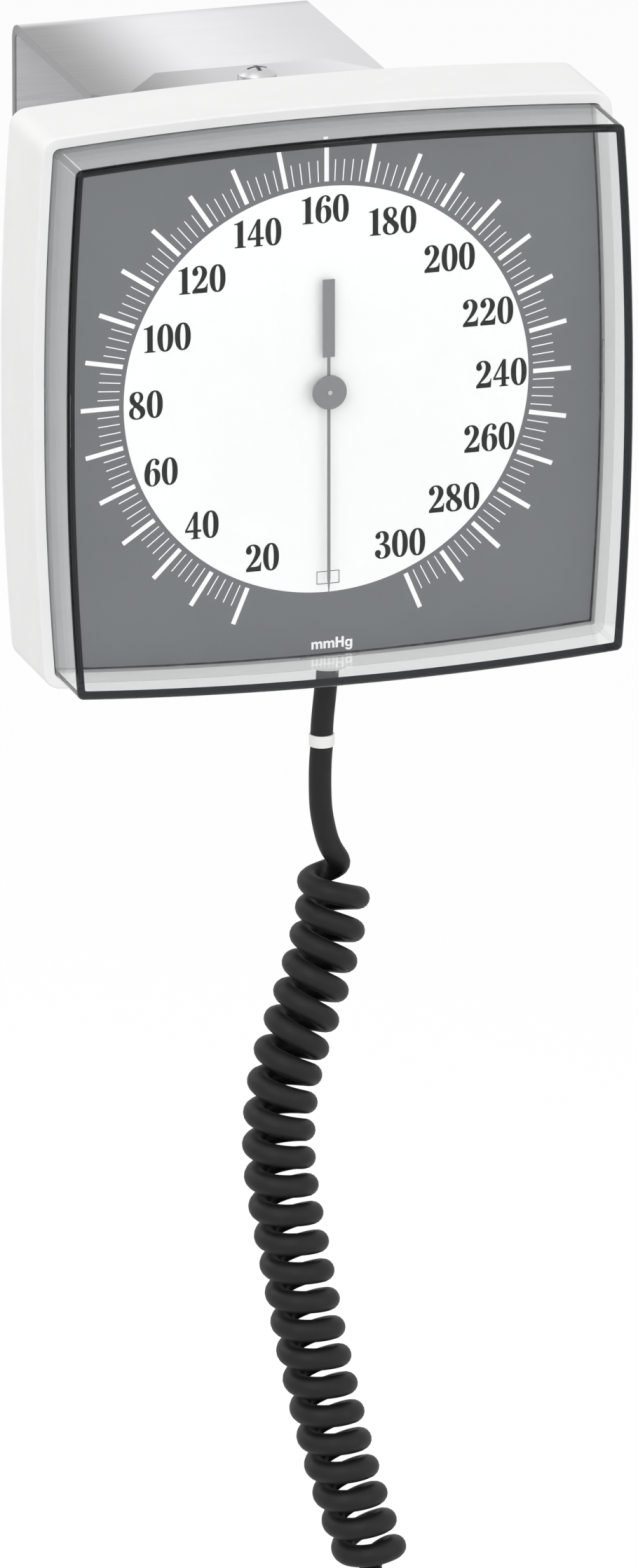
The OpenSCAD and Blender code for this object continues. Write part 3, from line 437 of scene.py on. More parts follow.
def block(name, low, high):
    """A block between two corners"""
    size = [b - a for a, b in zip(low, high)]
    centre = [(a + b) / 2 for a, b in zip(low, high)]
    bpy.ops.mesh.primitive_cube_add(size=1, location=centre, scale=size)
    return added(name)


def bar(name, place, r, y0, y1, sides):
    """A round bar along Y at place (x, z)"""
    bpy.ops.mesh.primitive_cylinder_add(vertices=sides, radius=r, depth=y1 - y0,
                                        location=(place[0], (y0 + y1) / 2, place[1]),
                                        rotation=(pi / 2, 0, 0))
    return added(name)


def snap_beads(play):
    """The four beads that hold the cover, or with some play the room for them in the case"""
    out, high, long = BEAD_OUT + play, BEAD_HIGH / 2 + play, BEAD_LONG / 2 + play
    beads = []
    for side in (-1, 1):
        for width, x, z, reach in ((CASE_H, 0, side, (long, high, out)),
                                   (CASE_W, side, 0, (out, high, long))):
            wall = width / 2 - WALL - FLAT_LOSS
            place = (x * wall, BEAD_Y, z * wall)
            beads.append(block("bead", [c - r for c, r in zip(place, reach)],
                               [c + r for c, r in zip(place, reach)]))
    return beads


def case_ribs():
    """Ribs on the four walls, from behind the dial to the back"""
    ribs = []
    for side in (-1, 1):
        for share in SIDE_RIBS:
            z = share * CASE_H
            wall = CASE_W / 2 - WALL - SIDE_BOW * (2 * share)**2
            x0, x1 = sorted((side * wall, side * (wall - RIB_REACH)))
            ribs.append(block("rib", (x0 - SUNK, DIAL_BACK_Y, z - RIB_HALF),
                              (x1 + SUNK, INSIDE_Y + SUNK, z + RIB_HALF)))
        for share in LEVEL_RIBS:
            x = share * CASE_W
            wall = CASE_H / 2 - WALL - SIDE_BOW * (2 * share)**2
            z0, z1 = sorted((side * wall, side * (wall - RIB_REACH)))
            ribs.append(block("rib", (x - RIB_HALF, DIAL_BACK_Y, z0 - SUNK),
                              (x + RIB_HALF, INSIDE_Y + SUNK, z1 + SUNK)))
    return ribs


def case_holes():
    """Cutters for the holes of yoke screws, base studs and nipple"""
    holes = [bar("screw_hole", p, YOKE_HOLE_R, CASE_BACK_Y - YOKE_HOLE_DEEP, CASE_BACK_Y + PAST_BACK,
                 HOLE_SIDES) for p in YOKE_SCREWS]
    holes += [bar("stud_hole", p, STUD_HOLE_R, INSIDE_Y - STUD_HOLE_DEEP, INSIDE_Y + STUD_HOLE_DEEP,
                  HOLE_SIDES) for p in BASE_STUDS]
    bpy.ops.mesh.primitive_cylinder_add(vertices=BOSS_SIDES, radius=NIPPLE_D / 2, depth=NIPPLE_HOLE_LONG,
                                        location=(HOSE_START.x, HOSE_START.y, WALL - CASE_H / 2))
    holes.append(added("nipple_hole"))
    return holes


def make_case():
    """The shell, open at the front, with its ribs, bosses and holes"""
    o = bowed_face("case_shell_moulding", 0, RIM_Y)
    draw_out(o, CASE_BACK_Y - RIM_Y)
    pick_edges(o, at_depth(RIM_Y))
    round_edges(RIM_ROUND, RIM_STEPS)
    pick_edges(o, at_depth(CASE_BACK_Y))
    round_edges(BACK_ROUND, ROUND_STEPS)
    pick_faces(o, face_at(RIM_Y))
    bpy.ops.mesh.inset(thickness=WALL - RIM_ROUND)
    push(INSIDE_Y - RIM_Y)
    outward(o)
    details = case_ribs()
    for places, high in ((YOKE_SCREWS, YOKE_BOSS), (BASE_STUDS, BASE_BOSS)):
        details += [bar("boss", p, BOSS_R, INSIDE_Y - high, INSIDE_Y + SUNK, BOSS_SIDES)
                    for p in places]
    combined(o, "UNION", details)
    combined(o, "DIFFERENCE", case_holes() + snap_beads(BEAD_PLAY))
    smooth(o)
    return o


def opened(o, y):
    """Takes away the end face of a piece at depth y"""
    pick_faces(o, face_at(y))
    bpy.ops.mesh.delete(type="ONLY_FACE")
    leave()
    return o


def make_cover():
    """The clear box: an outer and an inner skin, bridged at the lip, with its beads"""
    lip, front = DIAL_Y, RIM_Y - COVER_RISE
    early_lip = lip - LIP_STEP
    outer = bowed_face("clear_cover_moulding", COVER_INSET, lip)
    draw_out(outer, front - lip)
    pick_edges(outer, at_depth(front))
    round_edges(COVER_ROUND, ROUND_STEPS)
    opened(outer, lip)
    inner = bowed_face("cover_room", COVER_INSET + COVER_WALL, early_lip)
    draw_out(inner, front + COVER_WALL - early_lip)
    opened(inner, early_lip)
    o = joined("clear_cover_moulding", [outer, inner])
    pick_edges(o, lambda a, b: at_depth(lip)(a, b) or at_depth(early_lip)(a, b))
    bpy.ops.mesh.bridge_edge_loops()
    pick_edges(o, at_depth(early_lip))
    bpy.ops.transform.translate(value=(0, lip - early_lip, 0))
    outward(o)
    combined(o, "UNION", snap_beads(0))
    smooth(o)
    return o


# Dial print
DISC_R = 61.3 * MM
DISC_HOLE_R = 3.5 * MM
DISC_SIDES = 256
PRINT_T = 0.06 * MM
INK_T = 0.1 * MM
NUMBER_RISE = 0.12 * MM
TICK_SUNK = 0.02 * MM
TICK_START = 62.7 * MM
SMALL_TICK = (0.3 * MM, 69.2 * MM)
LARGE_TICK = (1.36 * MM, 74.2 * MM)
ZERO_BOX_PLACE = (0.4 * MM, -56.9 * MM)
ZERO_BOX_SIZE = (6.9 * MM, 3.9 * MM)
ZERO_BOX_LINE = 0.18 * MM
ZERO_BOX_RISE = 0.1 * MM
ZERO_BOX_T = 0.08 * MM
DEGREES_PER_MMHG = 1.125
TICK_VALUES = range(20, 301, 2)
LARGE_EACH = 10


def make_disc():
    """The white disc, with a hole round the arbor"""
    bpy.ops.mesh.primitive_circle_add(vertices=DISC_SIDES, radius=DISC_R, fill_type="NGON",
                                      location=(0, DIAL_Y, 0), rotation=(pi / 2, 0, 0))
    o = added("dial_white_disc")
    edit_all(o)
    bpy.ops.mesh.inset(thickness=DISC_R - DISC_HOLE_R)
    pick_faces(o, lambda c: Vector((c.x, 0, c.z)).length < MM)
    bpy.ops.mesh.delete(type="FACE")
    draw_out(o, -PRINT_T)
    outward(o)
    return o


def on_scale(value):
    """Turns a shape from the bottom of the scale to the place of a value"""
    return Matrix.Rotation(radians(value * DEGREES_PER_MMHG), 4, "Y")


def make_ticks():
    """A line of the scale for each 2 mmHg, larger at each 10"""
    shapes = {}
    for name, (width, end) in (("small", SMALL_TICK), ("large", LARGE_TICK)):
        shapes[name] = block("tick_" + name, (-width / 2, DIAL_Y - PRINT_T, -end),
                             (width / 2, DIAL_Y + TICK_SUNK, -TICK_START))
    ticks = []
    for value in TICK_VALUES:
        shape = shapes["small" if value % LARGE_EACH else "large"]
        tick = linked("tick", shape.data.copy())
        tick.data.transform(on_scale(value))
        ticks.append(tick)
    remove(shapes.values())
    return joined("dial_scale_lines", ticks)


# Numerals, each a hundred units high: its width and its closed lines, of points where "v" makes a
# corner and "a" runs smoothly
OVAL_POINTS = 16
OVAL_SQUARENESS = 2.25
LETTER_STEPS = 6


def oval(x, y, w, h):
    """A closed line round (x, y), a little squarer than an ellipse"""
    points = []
    for i in range(OVAL_POINTS):
        t = 2 * pi * i / OVAL_POINTS
        dx = abs(cos(t))**(2 / OVAL_SQUARENESS) * w / 2 * (1 if cos(t) >= 0 else -1)
        dy = abs(sin(t))**(2 / OVAL_SQUARENESS) * h / 2 * (1 if sin(t) >= 0 else -1)
        points.append((x + dx, y + dy, "a"))
    return points


NUMERALS = {
    "0": (59, [oval(29.5, 50, 59, 103), oval(29.5, 50, 20, 92)]),
    "1": (44, [[(0, 90, "v"), (0, 85.5, "v"), (9, 86.5, "a"), (12.5, 82, "v"), (12.5, 8, "v"),
                (10, 5, "a"), (2, 4, "v"), (2, 0, "v"), (43, 0, "v"), (43, 4, "v"), (36, 5, "a"),
                (33, 8, "v"), (33, 101, "v"), (29, 101, "v"), (15, 94, "a")]]),
    "2": (59, [[(1, 0, "v"), (56, 0, "v"), (58, 33, "v"), (55, 33, "v"), (51, 23, "a"), (43, 18.5, "a"),
                (17, 18, "v"), (31, 31, "a"), (48, 52, "a"), (55.5, 75, "a"), (46, 95, "a"),
                (27, 101.5, "a"), (9, 95, "a"), (1, 79, "a"), (4, 68.5, "a"), (12, 65, "a"),
                (20, 69, "a"), (23, 76, "a"), (21, 84, "a"), (18.5, 91, "a"), (24, 96.5, "a"),
                (33, 91, "a"), (36.5, 74, "a"), (31, 53, "a"), (18, 31, "a"), (1, 9, "v")]]),
    "3": (58, [[(27, 101.5, "a"), (45, 95, "a"), (52, 78, "a"), (46, 61, "a"), (36, 54, "v"),
                (50, 47, "a"), (58, 28, "a"), (50, 6, "a"), (26, -2, "a"), (7, 5, "a"), (0, 20, "a"),
                (4, 29, "a"), (12, 32, "a"), (21, 26, "a"), (21.5, 16, "a"), (18, 8, "a"),
                (25, 2.5, "a"), (35, 8, "a"), (39, 27, "a"), (33, 45, "a"), (22, 50.5, "v"),
                (17, 50.5, "v"), (17, 55.5, "v"), (22, 55.5, "v"), (31, 62, "a"), (34, 78, "a"),
                (30, 92, "a"), (24, 96.5, "a"), (19, 92, "a"), (21, 84, "a"), (18, 76, "a"),
                (11, 73.5, "a"), (3, 78, "a"), (3, 88, "a"), (11, 97, "a")]]),
    "4": (60, [[(36, 101, "v"), (47, 101, "v"), (47, 34, "v"), (60, 34, "v"), (60, 25.5, "v"),
                (47, 25.5, "v"), (47, 8, "v"), (49, 5, "a"), (56, 4, "v"), (56, 0, "v"), (23, 0, "v"),
                (23, 4, "v"), (29, 5, "a"), (31, 8, "v"), (31, 25.5, "v"), (0, 25.5, "v"),
                (0, 33, "v")],
               [(31, 34, "v"), (31, 78, "v"), (8, 34, "v")]]),
    "6": (59, [[(33, 101.5, "a"), (14, 90, "a"), (2.5, 62, "a"), (0.5, 38, "a"), (7, 11, "a"),
                (29, -2, "a"), (52, 10, "a"), (59, 33, "a"), (53, 56, "a"), (38, 64.5, "a"),
                (28, 62, "a"), (22, 56, "v"), (23.5, 76, "a"), (30, 93, "a"), (37, 97, "a"),
                (41.5, 93.5, "a"), (40, 88, "a"), (40.5, 80, "a"), (47, 76, "a"), (54.5, 80, "a"),
                (56, 88, "a"), (49, 98, "a")],
               oval(30, 30, 20, 56)]),
    "8": (60, [[(30, 101.5, "a"), (46, 96, "a"), (52.5, 80, "a"), (48, 65, "a"), (40, 56, "a"),
                (53, 43, "a"), (60, 26, "a"), (52, 6, "a"), (30, -2, "a"), (8, 5, "a"), (0, 22, "a"),
                (5, 38, "a"), (16, 47.5, "a"), (6, 60, "a"), (2, 77, "a"), (9, 95, "a")],
               [(30, 96.5, "a"), (37, 92, "a"), (39.5, 80, "a"), (37, 69, "a"), (33, 62, "a"),
                (23, 71, "a"), (19.5, 83, "a"), (23, 93, "a")],
               [(21, 42, "a"), (33, 33.5, "a"), (41, 22, "a"), (39, 8, "a"), (30, 3, "a"),
                (19.5, 8, "a"), (16, 23, "a"), (17.5, 35, "a")]]),
}
NUMERAL_HIGH = 8.1 * MM
NUMERAL_SCALE = NUMERAL_HIGH / 100
NUMERAL_GAP = 0.5 * MM
NUMBER_PLACES = {
    20: (-19.5, -49.1), 40: (-37.8, -37.6), 60: (-50.1, -20.4), 80: (-54.6, 0.2), 100: (-48.1, 19.9),
    120: (-37.6, 36.5), 140: (-20.8, 49.0), 160: (-0.4, 54.4), 180: (20.0, 49.2), 200: (37.2, 36.6),
    220: (48.9, 19.2), 240: (53.0, 0.3), 260: (49.4, -18.9), 280: (38.7, -36.2), 300: (22.3, -48.6)}


def flat_shape(name, loops, scale):
    """Closed lines filled to a thin mesh that lies in the dial's plane, with its front at y = 0"""
    line = bpy.data.curves.new(name, "CURVE")
    line.dimensions = "2D"
    line.fill_mode = "BOTH"
    line.resolution_u = LETTER_STEPS
    line.extrude = INK_T / 2
    for loop in loops:
        spline = line.splines.new("BEZIER")
        spline.bezier_points.add(len(loop) - 1)
        for p, (x, y, kind) in zip(spline.bezier_points, loop):
            p.co = (x * scale, y * scale, 0)
            p.handle_left_type = p.handle_right_type = "VECTOR" if kind == "v" else "AUTO"
        spline.use_cyclic_u = True
    select_only(linked(name, line))
    bpy.ops.object.convert(target="MESH")
    o = bpy.context.active_object
    o.data.transform(Matrix.Translation((0, INK_T / 2, 0)) @ Matrix.Rotation(pi / 2, 4, "X"))
    return o


def in_row(text, glyphs, shapes, scale, gap, middle, front, foot):
    """Copies of the glyphs' shapes that spell a text, centred on middle"""
    wide = sum(glyphs[c][0] * scale for c in text) + gap * (len(text) - 1)
    at = middle - wide / 2
    row = []
    for c in text:
        letter = linked("letter", shapes[c].data.copy())
        letter.data.transform(Matrix.Translation((at, front, foot)))
        row.append(letter)
        at += glyphs[c][0] * scale + gap
    return row


def make_numbers():
    """The digits of each value in a row, centred on its place"""
    shapes = {digit: flat_shape("numeral_" + digit, loops, NUMERAL_SCALE)
              for digit, (_, loops) in NUMERALS.items()}
    placed = []
    for value, (x, z) in NUMBER_PLACES.items():
        placed += in_row(str(value), NUMERALS, shapes, NUMERAL_SCALE, NUMERAL_GAP, x * MM,
                         DIAL_Y - NUMBER_RISE, z * MM - NUMERAL_HIGH / 2)
    remove(shapes.values())
    return merged(joined("dial_numbers", placed))


# Letters of the unit, with the small ones a hundred units high
LETTERS = {
    "m": (148, [[(0, 0, "v"), (0, 98, "v"), (28, 98, "v"), (28, 86, "v"), (41, 97, "a"), (58, 101, "a"),
                 (75, 96, "a"), (86, 83, "v"), (100, 97, "a"), (118, 101, "a"), (138, 93, "a"),
                 (148, 68, "v"), (148, 0, "v"), (118, 0, "v"), (118, 58, "v"), (114, 72, "a"),
                 (104, 76, "a"), (93, 70, "a"), (89, 56, "v"), (89, 0, "v"), (59, 0, "v"),
                 (59, 58, "v"), (55, 72, "a"), (45, 76, "a"), (34, 70, "a"), (30, 56, "v"),
                 (30, 0, "v")]]),
    "H": (112, [[(0, 0, "v"), (0, 143, "v"), (32, 143, "v"), (32, 90, "v"), (80, 90, "v"),
                 (80, 143, "v"), (112, 143, "v"), (112, 0, "v"), (80, 0, "v"), (80, 62, "v"),
                 (32, 62, "v"), (32, 0, "v")]]),
    "g": (99, [[(99, 98, "v"), (71, 98, "v"), (71, 86, "v"), (58, 97, "a"), (41, 101, "a"),
                (13, 88, "a"), (0, 50, "a"), (13, 13, "a"), (40, 0, "a"), (57, 4, "a"), (69, 15, "v"),
                (68, -4, "a"), (62, -17, "a"), (48, -21, "a"), (36, -18, "a"), (32, -9, "v"),
                (3, -9, "v"), (14, -34, "a"), (49, -44, "a"), (85, -34, "a"), (99, -2, "v")],
               oval(50, 50, 38, 54)]),
}
UNIT = "mmHg"
UNIT_PLACE = (1.6 * MM, -76.9 * MM)
UNIT_SCALE = 0.0225 * MM
UNIT_GAP = 15 * UNIT_SCALE
UNIT_HALF_HIGH = 71 * UNIT_SCALE


def make_caption():
    """The unit, below the zero box"""
    shapes = {c: flat_shape("letter_" + c, loops, UNIT_SCALE) for c, (_, loops) in LETTERS.items()}
    placed = in_row(UNIT, LETTERS, shapes, UNIT_SCALE, UNIT_GAP, UNIT_PLACE[0], DIAL_Y - PRINT_T,
                    UNIT_PLACE[1] - UNIT_HALF_HIGH)
    remove(shapes.values())
    return merged(joined("dial_unit_caption", placed))


def make_zero_box():
    """The thin frame that the pointer's tip stands in at zero"""
    (x, z), (wide, high) = ZERO_BOX_PLACE, ZERO_BOX_SIZE
    bpy.ops.mesh.primitive_plane_add(size=1, location=(x, DIAL_Y - ZERO_BOX_RISE, z),
                                     rotation=(pi / 2, 0, 0))
    o = added("dial_zero_box")
    for v in o.data.vertices:
        v.co.x = x + (0.5 if v.co.x > x else -0.5) * wide
        v.co.z = z + (0.5 if v.co.z > z else -0.5) * high
    edit_all(o)
    bpy.ops.mesh.inset(thickness=ZERO_BOX_LINE)
    pick_faces(o, lambda c: abs(c.x - x) < NEAR and abs(c.z - z) < NEAR)
    bpy.ops.mesh.delete(type="FACE")
    draw_out(o, ZERO_BOX_T)
    outward(o)
    return o


# Rounding of the copied CAD nodes
FLAT_ANGLE = radians(0.5)
SHARP_ANGLE = radians(35)
SOFT_STEPS = 2


def softened(node, name, width):
    """A copy of a CAD node, with its doubles merged, its flats joined and its sharp edges rounded"""
    o = linked(name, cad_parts[node].data.copy())
    o.data.name = name
    select_only(o)
    if o.data.has_custom_normals:
        bpy.ops.mesh.customdata_custom_splitnormals_clear()
    edit_all(o)
    bpy.ops.mesh.remove_doubles(threshold=NEAR)
    bpy.ops.mesh.dissolve_limited(angle_limit=FLAT_ANGLE)
    outward(o)
    edge = o.modifiers.new("edges", "BEVEL")
    edge.width = width
    edge.segments = SOFT_STEPS
    edge.limit_method = "ANGLE"
    edge.angle_limit = SHARP_ANGLE
    edge.harden_normals = False
    select_only(o)
    bpy.ops.object.modifier_apply(modifier=edge.name)
    smooth(o)
    return o


# Materials, with how fine their noises are and the span that most of a noise's values lie in
BRUSHED_FINE = 1400
CLOUDS_FINE = 60
MOTTLE_FINE = 45
SHEEN_FINE = 300
ACRYLIC_FINE = 90
NOISE_SPAN = (0.3, 0.7)
# Lowest and highest change of roughness, and strength of the grain
STEEL_ROUGH = (-0.06, 0.08)
STEEL_GRAIN = 0.5
STEEL_DEPTH = 0.00002
MOULDED_ROUGH = (-0.04, 0.06)
MOULDED_GRAIN = 0.4
CLOUD_SHADE = 0.92
STREAK_SHADE = 0.94
# Steel straps, whose tones are painted shade and painted reflections: half their width, the end of the
# painted shade on the cut edge and the middle painted reflection tone as shares of the width, the
# painted shade of the back's cut edge, the depths between which the back begins, and a touch of blue
STRAP_HALF = 45 * MM
SHADED_CUT_EDGE = (0.003, 0.007)
REFLECTION_MIDDLE = 0.45
BACK_CUT_EDGE_SHADE = 0.25
BACK_SPAN = (-9 * MM, -3 * MM)
COOL = 1.02


def shader(name, colour, rough, metal=0.0):
    m = bpy.data.materials.new(name)
    m.use_nodes = True
    s = m.node_tree.nodes["Principled BSDF"]
    s.inputs["Base Color"].default_value = (*colour, 1)
    s.inputs["Roughness"].default_value = rough
    s.inputs["Metallic"].default_value = metal
    return m, m.node_tree, s


def noise(tree, scale, detail, stretch=(1, 1, 1)):
    """A noise on Object coordinates, stretched by a Mapping node"""
    where = tree.nodes.new("ShaderNodeTexCoord")
    mapping = tree.nodes.new("ShaderNodeMapping")
    mapping.inputs["Scale"].default_value = stretch
    n = tree.nodes.new("ShaderNodeTexNoise")
    n.inputs["Scale"].default_value = scale
    n.inputs["Detail"].default_value = detail
    tree.links.new(where.outputs["Object"], mapping.inputs["Vector"])
    tree.links.new(mapping.outputs["Vector"], n.inputs["Vector"])
    return n.outputs["Fac"]


def spread(tree, value, low, high, span=NOISE_SPAN):
    """Spreads a value from its span to low..high"""
    r = tree.nodes.new("ShaderNodeMapRange")
    r.inputs["From Min"].default_value = span[0]
    r.inputs["From Max"].default_value = span[1]
    r.inputs["To Min"].default_value = low
    r.inputs["To Max"].default_value = high
    tree.links.new(value, r.inputs["Value"])
    return r.outputs["Result"]


def blend_colours(tree, value, dark, light):
    """A colour between dark and light, by a noise"""
    ramp = tree.nodes.new("ShaderNodeValToRGB")
    for stop, place, colour in zip(ramp.color_ramp.elements, NOISE_SPAN, (dark, light)):
        stop.position = place
        stop.color = (*colour, 1)
    tree.links.new(value, ramp.inputs["Fac"])
    return ramp.outputs["Color"]


def blended(tree, kind, share, a, b):
    """Two colours blended by a share, which is a number or a socket"""
    mix = tree.nodes.new("ShaderNodeMix")
    mix.data_type = "RGBA"
    mix.blend_type = kind
    factor, first, second = (next(i for i in mix.inputs if i.identifier == n)
                             for n in ("Factor_Float", "A_Color", "B_Color"))
    if isinstance(share, float):
        factor.default_value = share
    else:
        tree.links.new(share, factor)
    tree.links.new(a, first)
    tree.links.new(b, second)
    return next(o for o in mix.outputs if o.identifier == "Result_Color")


def grain(tree, s, value, depth, strength):
    bump = tree.nodes.new("ShaderNodeBump")
    bump.inputs["Strength"].default_value = strength
    bump.inputs["Distance"].default_value = depth
    tree.links.new(value, bump.inputs["Height"])
    tree.links.new(bump.outputs["Normal"], s.inputs["Normal"])


def sheen(tree, s, value, rough, change):
    """Roughness that a noise changes a little"""
    tree.links.new(spread(tree, value, rough + change[0], rough + change[1]), s.inputs["Roughness"])


def brushing(tree, s, brushed, rough, depth):
    """The roughness and the grain of brushed metal"""
    sheen(tree, s, brushed, rough, STEEL_ROUGH)
    grain(tree, s, brushed, depth, STEEL_GRAIN)


def steel_finish(name, colour, rough, depth=STEEL_DEPTH):
    """A small metal part, with faint clouds of tone and a fine grain"""
    m, t, s = shader(name, colour, rough, metal=1.0)
    brushed = noise(t, BRUSHED_FINE, 2)
    clouds = noise(t, CLOUDS_FINE, 3)
    dark = tuple(c * CLOUD_SHADE for c in colour)
    t.links.new(blend_colours(t, clouds, dark, colour), s.inputs["Base Color"])
    brushing(t, s, brushed, rough, depth)
    return m


def tone_ramp(tree, across, reflection_tones):
    """Painted tones across the strap: painted shade on its cut edge, and painted reflections beside
    that, in the middle and at the right
    """
    ramp = tree.nodes.new("ShaderNodeValToRGB")
    ramp.color_ramp.interpolation = "EASE"
    stops = ramp.color_ramp.elements
    stops[0].position, stops[1].position = 0.0, 1.0
    for place in (*SHADED_CUT_EDGE, REFLECTION_MIDDLE):
        stops.new(place)
    for stop, tone in zip(stops, (reflection_tones[0], *reflection_tones)):
        stop.color = (tone, tone, tone * COOL, 1)
    tree.links.new(across, ramp.inputs["Fac"])
    return ramp.outputs["Color"]


def rolled_steel(name, reflection_tones, back_reflection_tones, rough):
    """Brushed strap, with fine lines along X, and painted reflections and painted shade as a change of
    tone across each flat, with other tones on the back plate
    """
    m, t, s = shader(name, (reflection_tones[1],) * 3, rough, metal=0.8)
    brushed = noise(t, BRUSHED_FINE, 2, stretch=(0.03, 1, 1))
    where = t.nodes.new("ShaderNodeTexCoord")
    parts = t.nodes.new("ShaderNodeSeparateXYZ")
    t.links.new(where.outputs["Object"], parts.inputs[0])
    across = spread(t, parts.outputs["X"], 0.0, 1.0, (-STRAP_HALF, STRAP_HALF))
    # front and back are the painted reflection and painted shade tones of the front flats and of the
    # back plate
    front = tone_ramp(t, across, (reflection_tones[0], *reflection_tones))
    back = tone_ramp(t, across, (BACK_CUT_EDGE_SHADE, *back_reflection_tones))
    on_back = spread(t, parts.outputs["Y"], 0.0, 1.0, BACK_SPAN)
    tone = blended(t, "MIX", on_back, front, back)
    streaks = blend_colours(t, brushed, (STREAK_SHADE,) * 3, (1, 1, 1))
    t.links.new(blended(t, "MULTIPLY", 1.0, tone, streaks), s.inputs["Base Color"])
    brushing(t, s, brushed, rough, STEEL_DEPTH)
    return m


def moulded(name, colour, rough, mottle=0.03, depth=0.00003, fine=2200, shine=0.5):
    """Plastic, rubber, paint or ink, a little mottled and grained"""
    m, t, s = shader(name, colour, rough)
    s.inputs["Specular IOR Level"].default_value = shine
    dark = tuple(c * (1 - mottle) for c in colour)
    t.links.new(blend_colours(t, noise(t, MOTTLE_FINE, 3), dark, colour), s.inputs["Base Color"])
    sheen(t, s, noise(t, SHEEN_FINE, 2), rough, MOULDED_ROUGH)
    grain(t, s, noise(t, fine, 2), depth, MOULDED_GRAIN)
    return m


# Each strap's tones are painted shade on the cut edge, then painted reflections across the flats; first
# the front flats, then the back plate
bracket_steel = rolled_steel("satin_bracket_steel_painted_reflections", (0.3, 0.84, 0.7), (0.92, 0.7, 0.5), rough=0.38)
yoke_steel = rolled_steel("satin_yoke_steel_painted_reflections", (0.22, 0.62, 0.84), (0.6, 0.6, 0.6), rough=0.4)
screw_steel = steel_finish("bright_screw_steel", (0.6, 0.6, 0.61), rough=0.3, depth=0.000004)
case_plastic = moulded("light_grey_case_plastic", (0.86, 0.86, 0.855), rough=0.42)
dial_paint = moulded("dial_grey_paint", (0.148, 0.156, 0.166), rough=0.6, mottle=0.04,
                     depth=0.00001, fine=5000)
white_print = moulded("dial_white_print", (0.92, 0.92, 0.92), rough=0.6, mottle=0.01,
                      depth=0.00001, fine=5000)
black_print = moulded("numeral_black_ink", (0.010, 0.009, 0.009), rough=0.5, mottle=0.1,
                      depth=0.00001, fine=6000, shine=0.2)
pointer_paint = moulded("pointer_grey_paint", (0.225, 0.225, 0.23), rough=0.45, mottle=0.05,
                        depth=0.00001, fine=5000)
rubber = moulded("hose_black_rubber", (0.009, 0.008, 0.008), rough=0.55, mottle=0.2,
                 depth=0.00004, fine=1500, shine=0.3)
nylon = moulded("white_nylon", (0.86, 0.86, 0.84), rough=0.4, mottle=0.03, depth=0.00002, fine=2500)
brass = steel_finish("movement_brass", (0.72, 0.52, 0.22), rough=0.3)
spring_steel = steel_finish("movement_steel", (0.55, 0.56, 0.58), rough=0.25)


def make_acrylic():
    """Clear acrylic that lets the lamps' light through to the dial"""
    m, t, s = shader("clear_acrylic", (0.992, 0.996, 0.996), 0.02)
    s.inputs["Transmission Weight"].default_value = 1.0
    s.inputs["IOR"].default_value = 1.49
    s.inputs["Specular Tint"].default_value = (0.25, 0.25, 0.25, 1)
    t.links.new(spread(t, noise(t, ACRYLIC_FINE, 3), 0.0, 0.006), s.inputs["Roughness"])
    paths = t.nodes.new("ShaderNodeLightPath")
    through = t.nodes.new("ShaderNodeBsdfTransparent")
    through.inputs["Color"].default_value = (0.97, 0.98, 0.98, 1)
    mix = t.nodes.new("ShaderNodeMixShader")
    t.links.new(paths.outputs["Is Shadow Ray"], mix.inputs[0])
    t.links.new(s.outputs[0], mix.inputs[1])
    t.links.new(through.outputs[0], mix.inputs[2])
    t.links.new(mix.outputs[0], t.nodes["Material Output"].inputs["Surface"])
    return m


acrylic = make_acrylic()

# The pieces
dress(hose, rubber, "head", "hose_rubber", "upper_hose", "lead_hose", "coiled_hose", "tail_hose")
dress(make_case(), case_plastic, "head", "case_plastic", "case_shell")
dress(make_cover(), acrylic, "head", "clear_plastic", "clear_cover")
dress(make_disc(), white_print, "head", "dial_print")
dress(make_ticks(), white_print, "head", "dial_print")
dress(make_numbers(), black_print, "head", "dial_print")
dress(make_caption(), white_print, "head", "dial_print")
dress(make_zero_box(), black_print, "head", "dial_print")

# Each softened node with its piece's name, the rounding of its edges in millimetres, and its dressing
SOFTENED = [
    ("wall_bracket", "bracket_strap", 0.5, bracket_steel, "wall", "bracket_steel"),
    ("swivel_yoke", "yoke_strap", 0.5, yoke_steel, "head", "bracket_steel"),
    ("pivot_screws", "pivot_pan_screws", 0.15, screw_steel, "wall", "fastener_steel"),
    ("pivot_washers", "pivot_spacers", 0.25, nylon, "wall", "nylon"),
    ("pivot_nuts", "pivot_hexagon_nuts", 0.3, screw_steel, "wall", "fastener_steel"),
    ("yoke_screws", "yoke_case_screws", 0.15, screw_steel, "head", "fastener_steel"),
    ("pointer_blade", "pointer_needle", 0.08, pointer_paint, "pointer", "pointer_paint"),
    ("pointer_hub", "pointer_hub_disc", 0.25, pointer_paint, "pointer", "pointer_paint"),
    ("outlet_nipple", "hose_nipple", 0.3, nylon, "head", "nylon"),
    ("hose_coupling", "white_coupling", 0.2, nylon, "head", "nylon"),
    ("end_connector", "hose_end_connector", 0.35, nylon, "head", "nylon"),
]
for node, name, width, material, body, slot in SOFTENED:
    dress(softened(node, name, width * MM), material, body, slot, node)

# Nodes that are shown as they are
KEPT_NODES = {
    dial_paint: ["dial_plate"],
    brass: ["front_plate", "rear_plate", "base_plate", "plate_pillars", "base_pillars", "capsule",
            "inlet_block", "sector_gear", "spring_collet", "spring_stud"],
    spring_steel: ["plate_screws", "base_screws", "capsule_pin", "rocking_shaft", "sector_arbor",
                   "pinion_arbor", "hairspring"],
    rubber: ["inner_hose"],
    nylon: ["nipple_nut"],
}
for material, nodes in KEPT_NODES.items():
    for node in nodes:
        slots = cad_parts[node].data.materials
        slots.clear()
        slots.append(material)

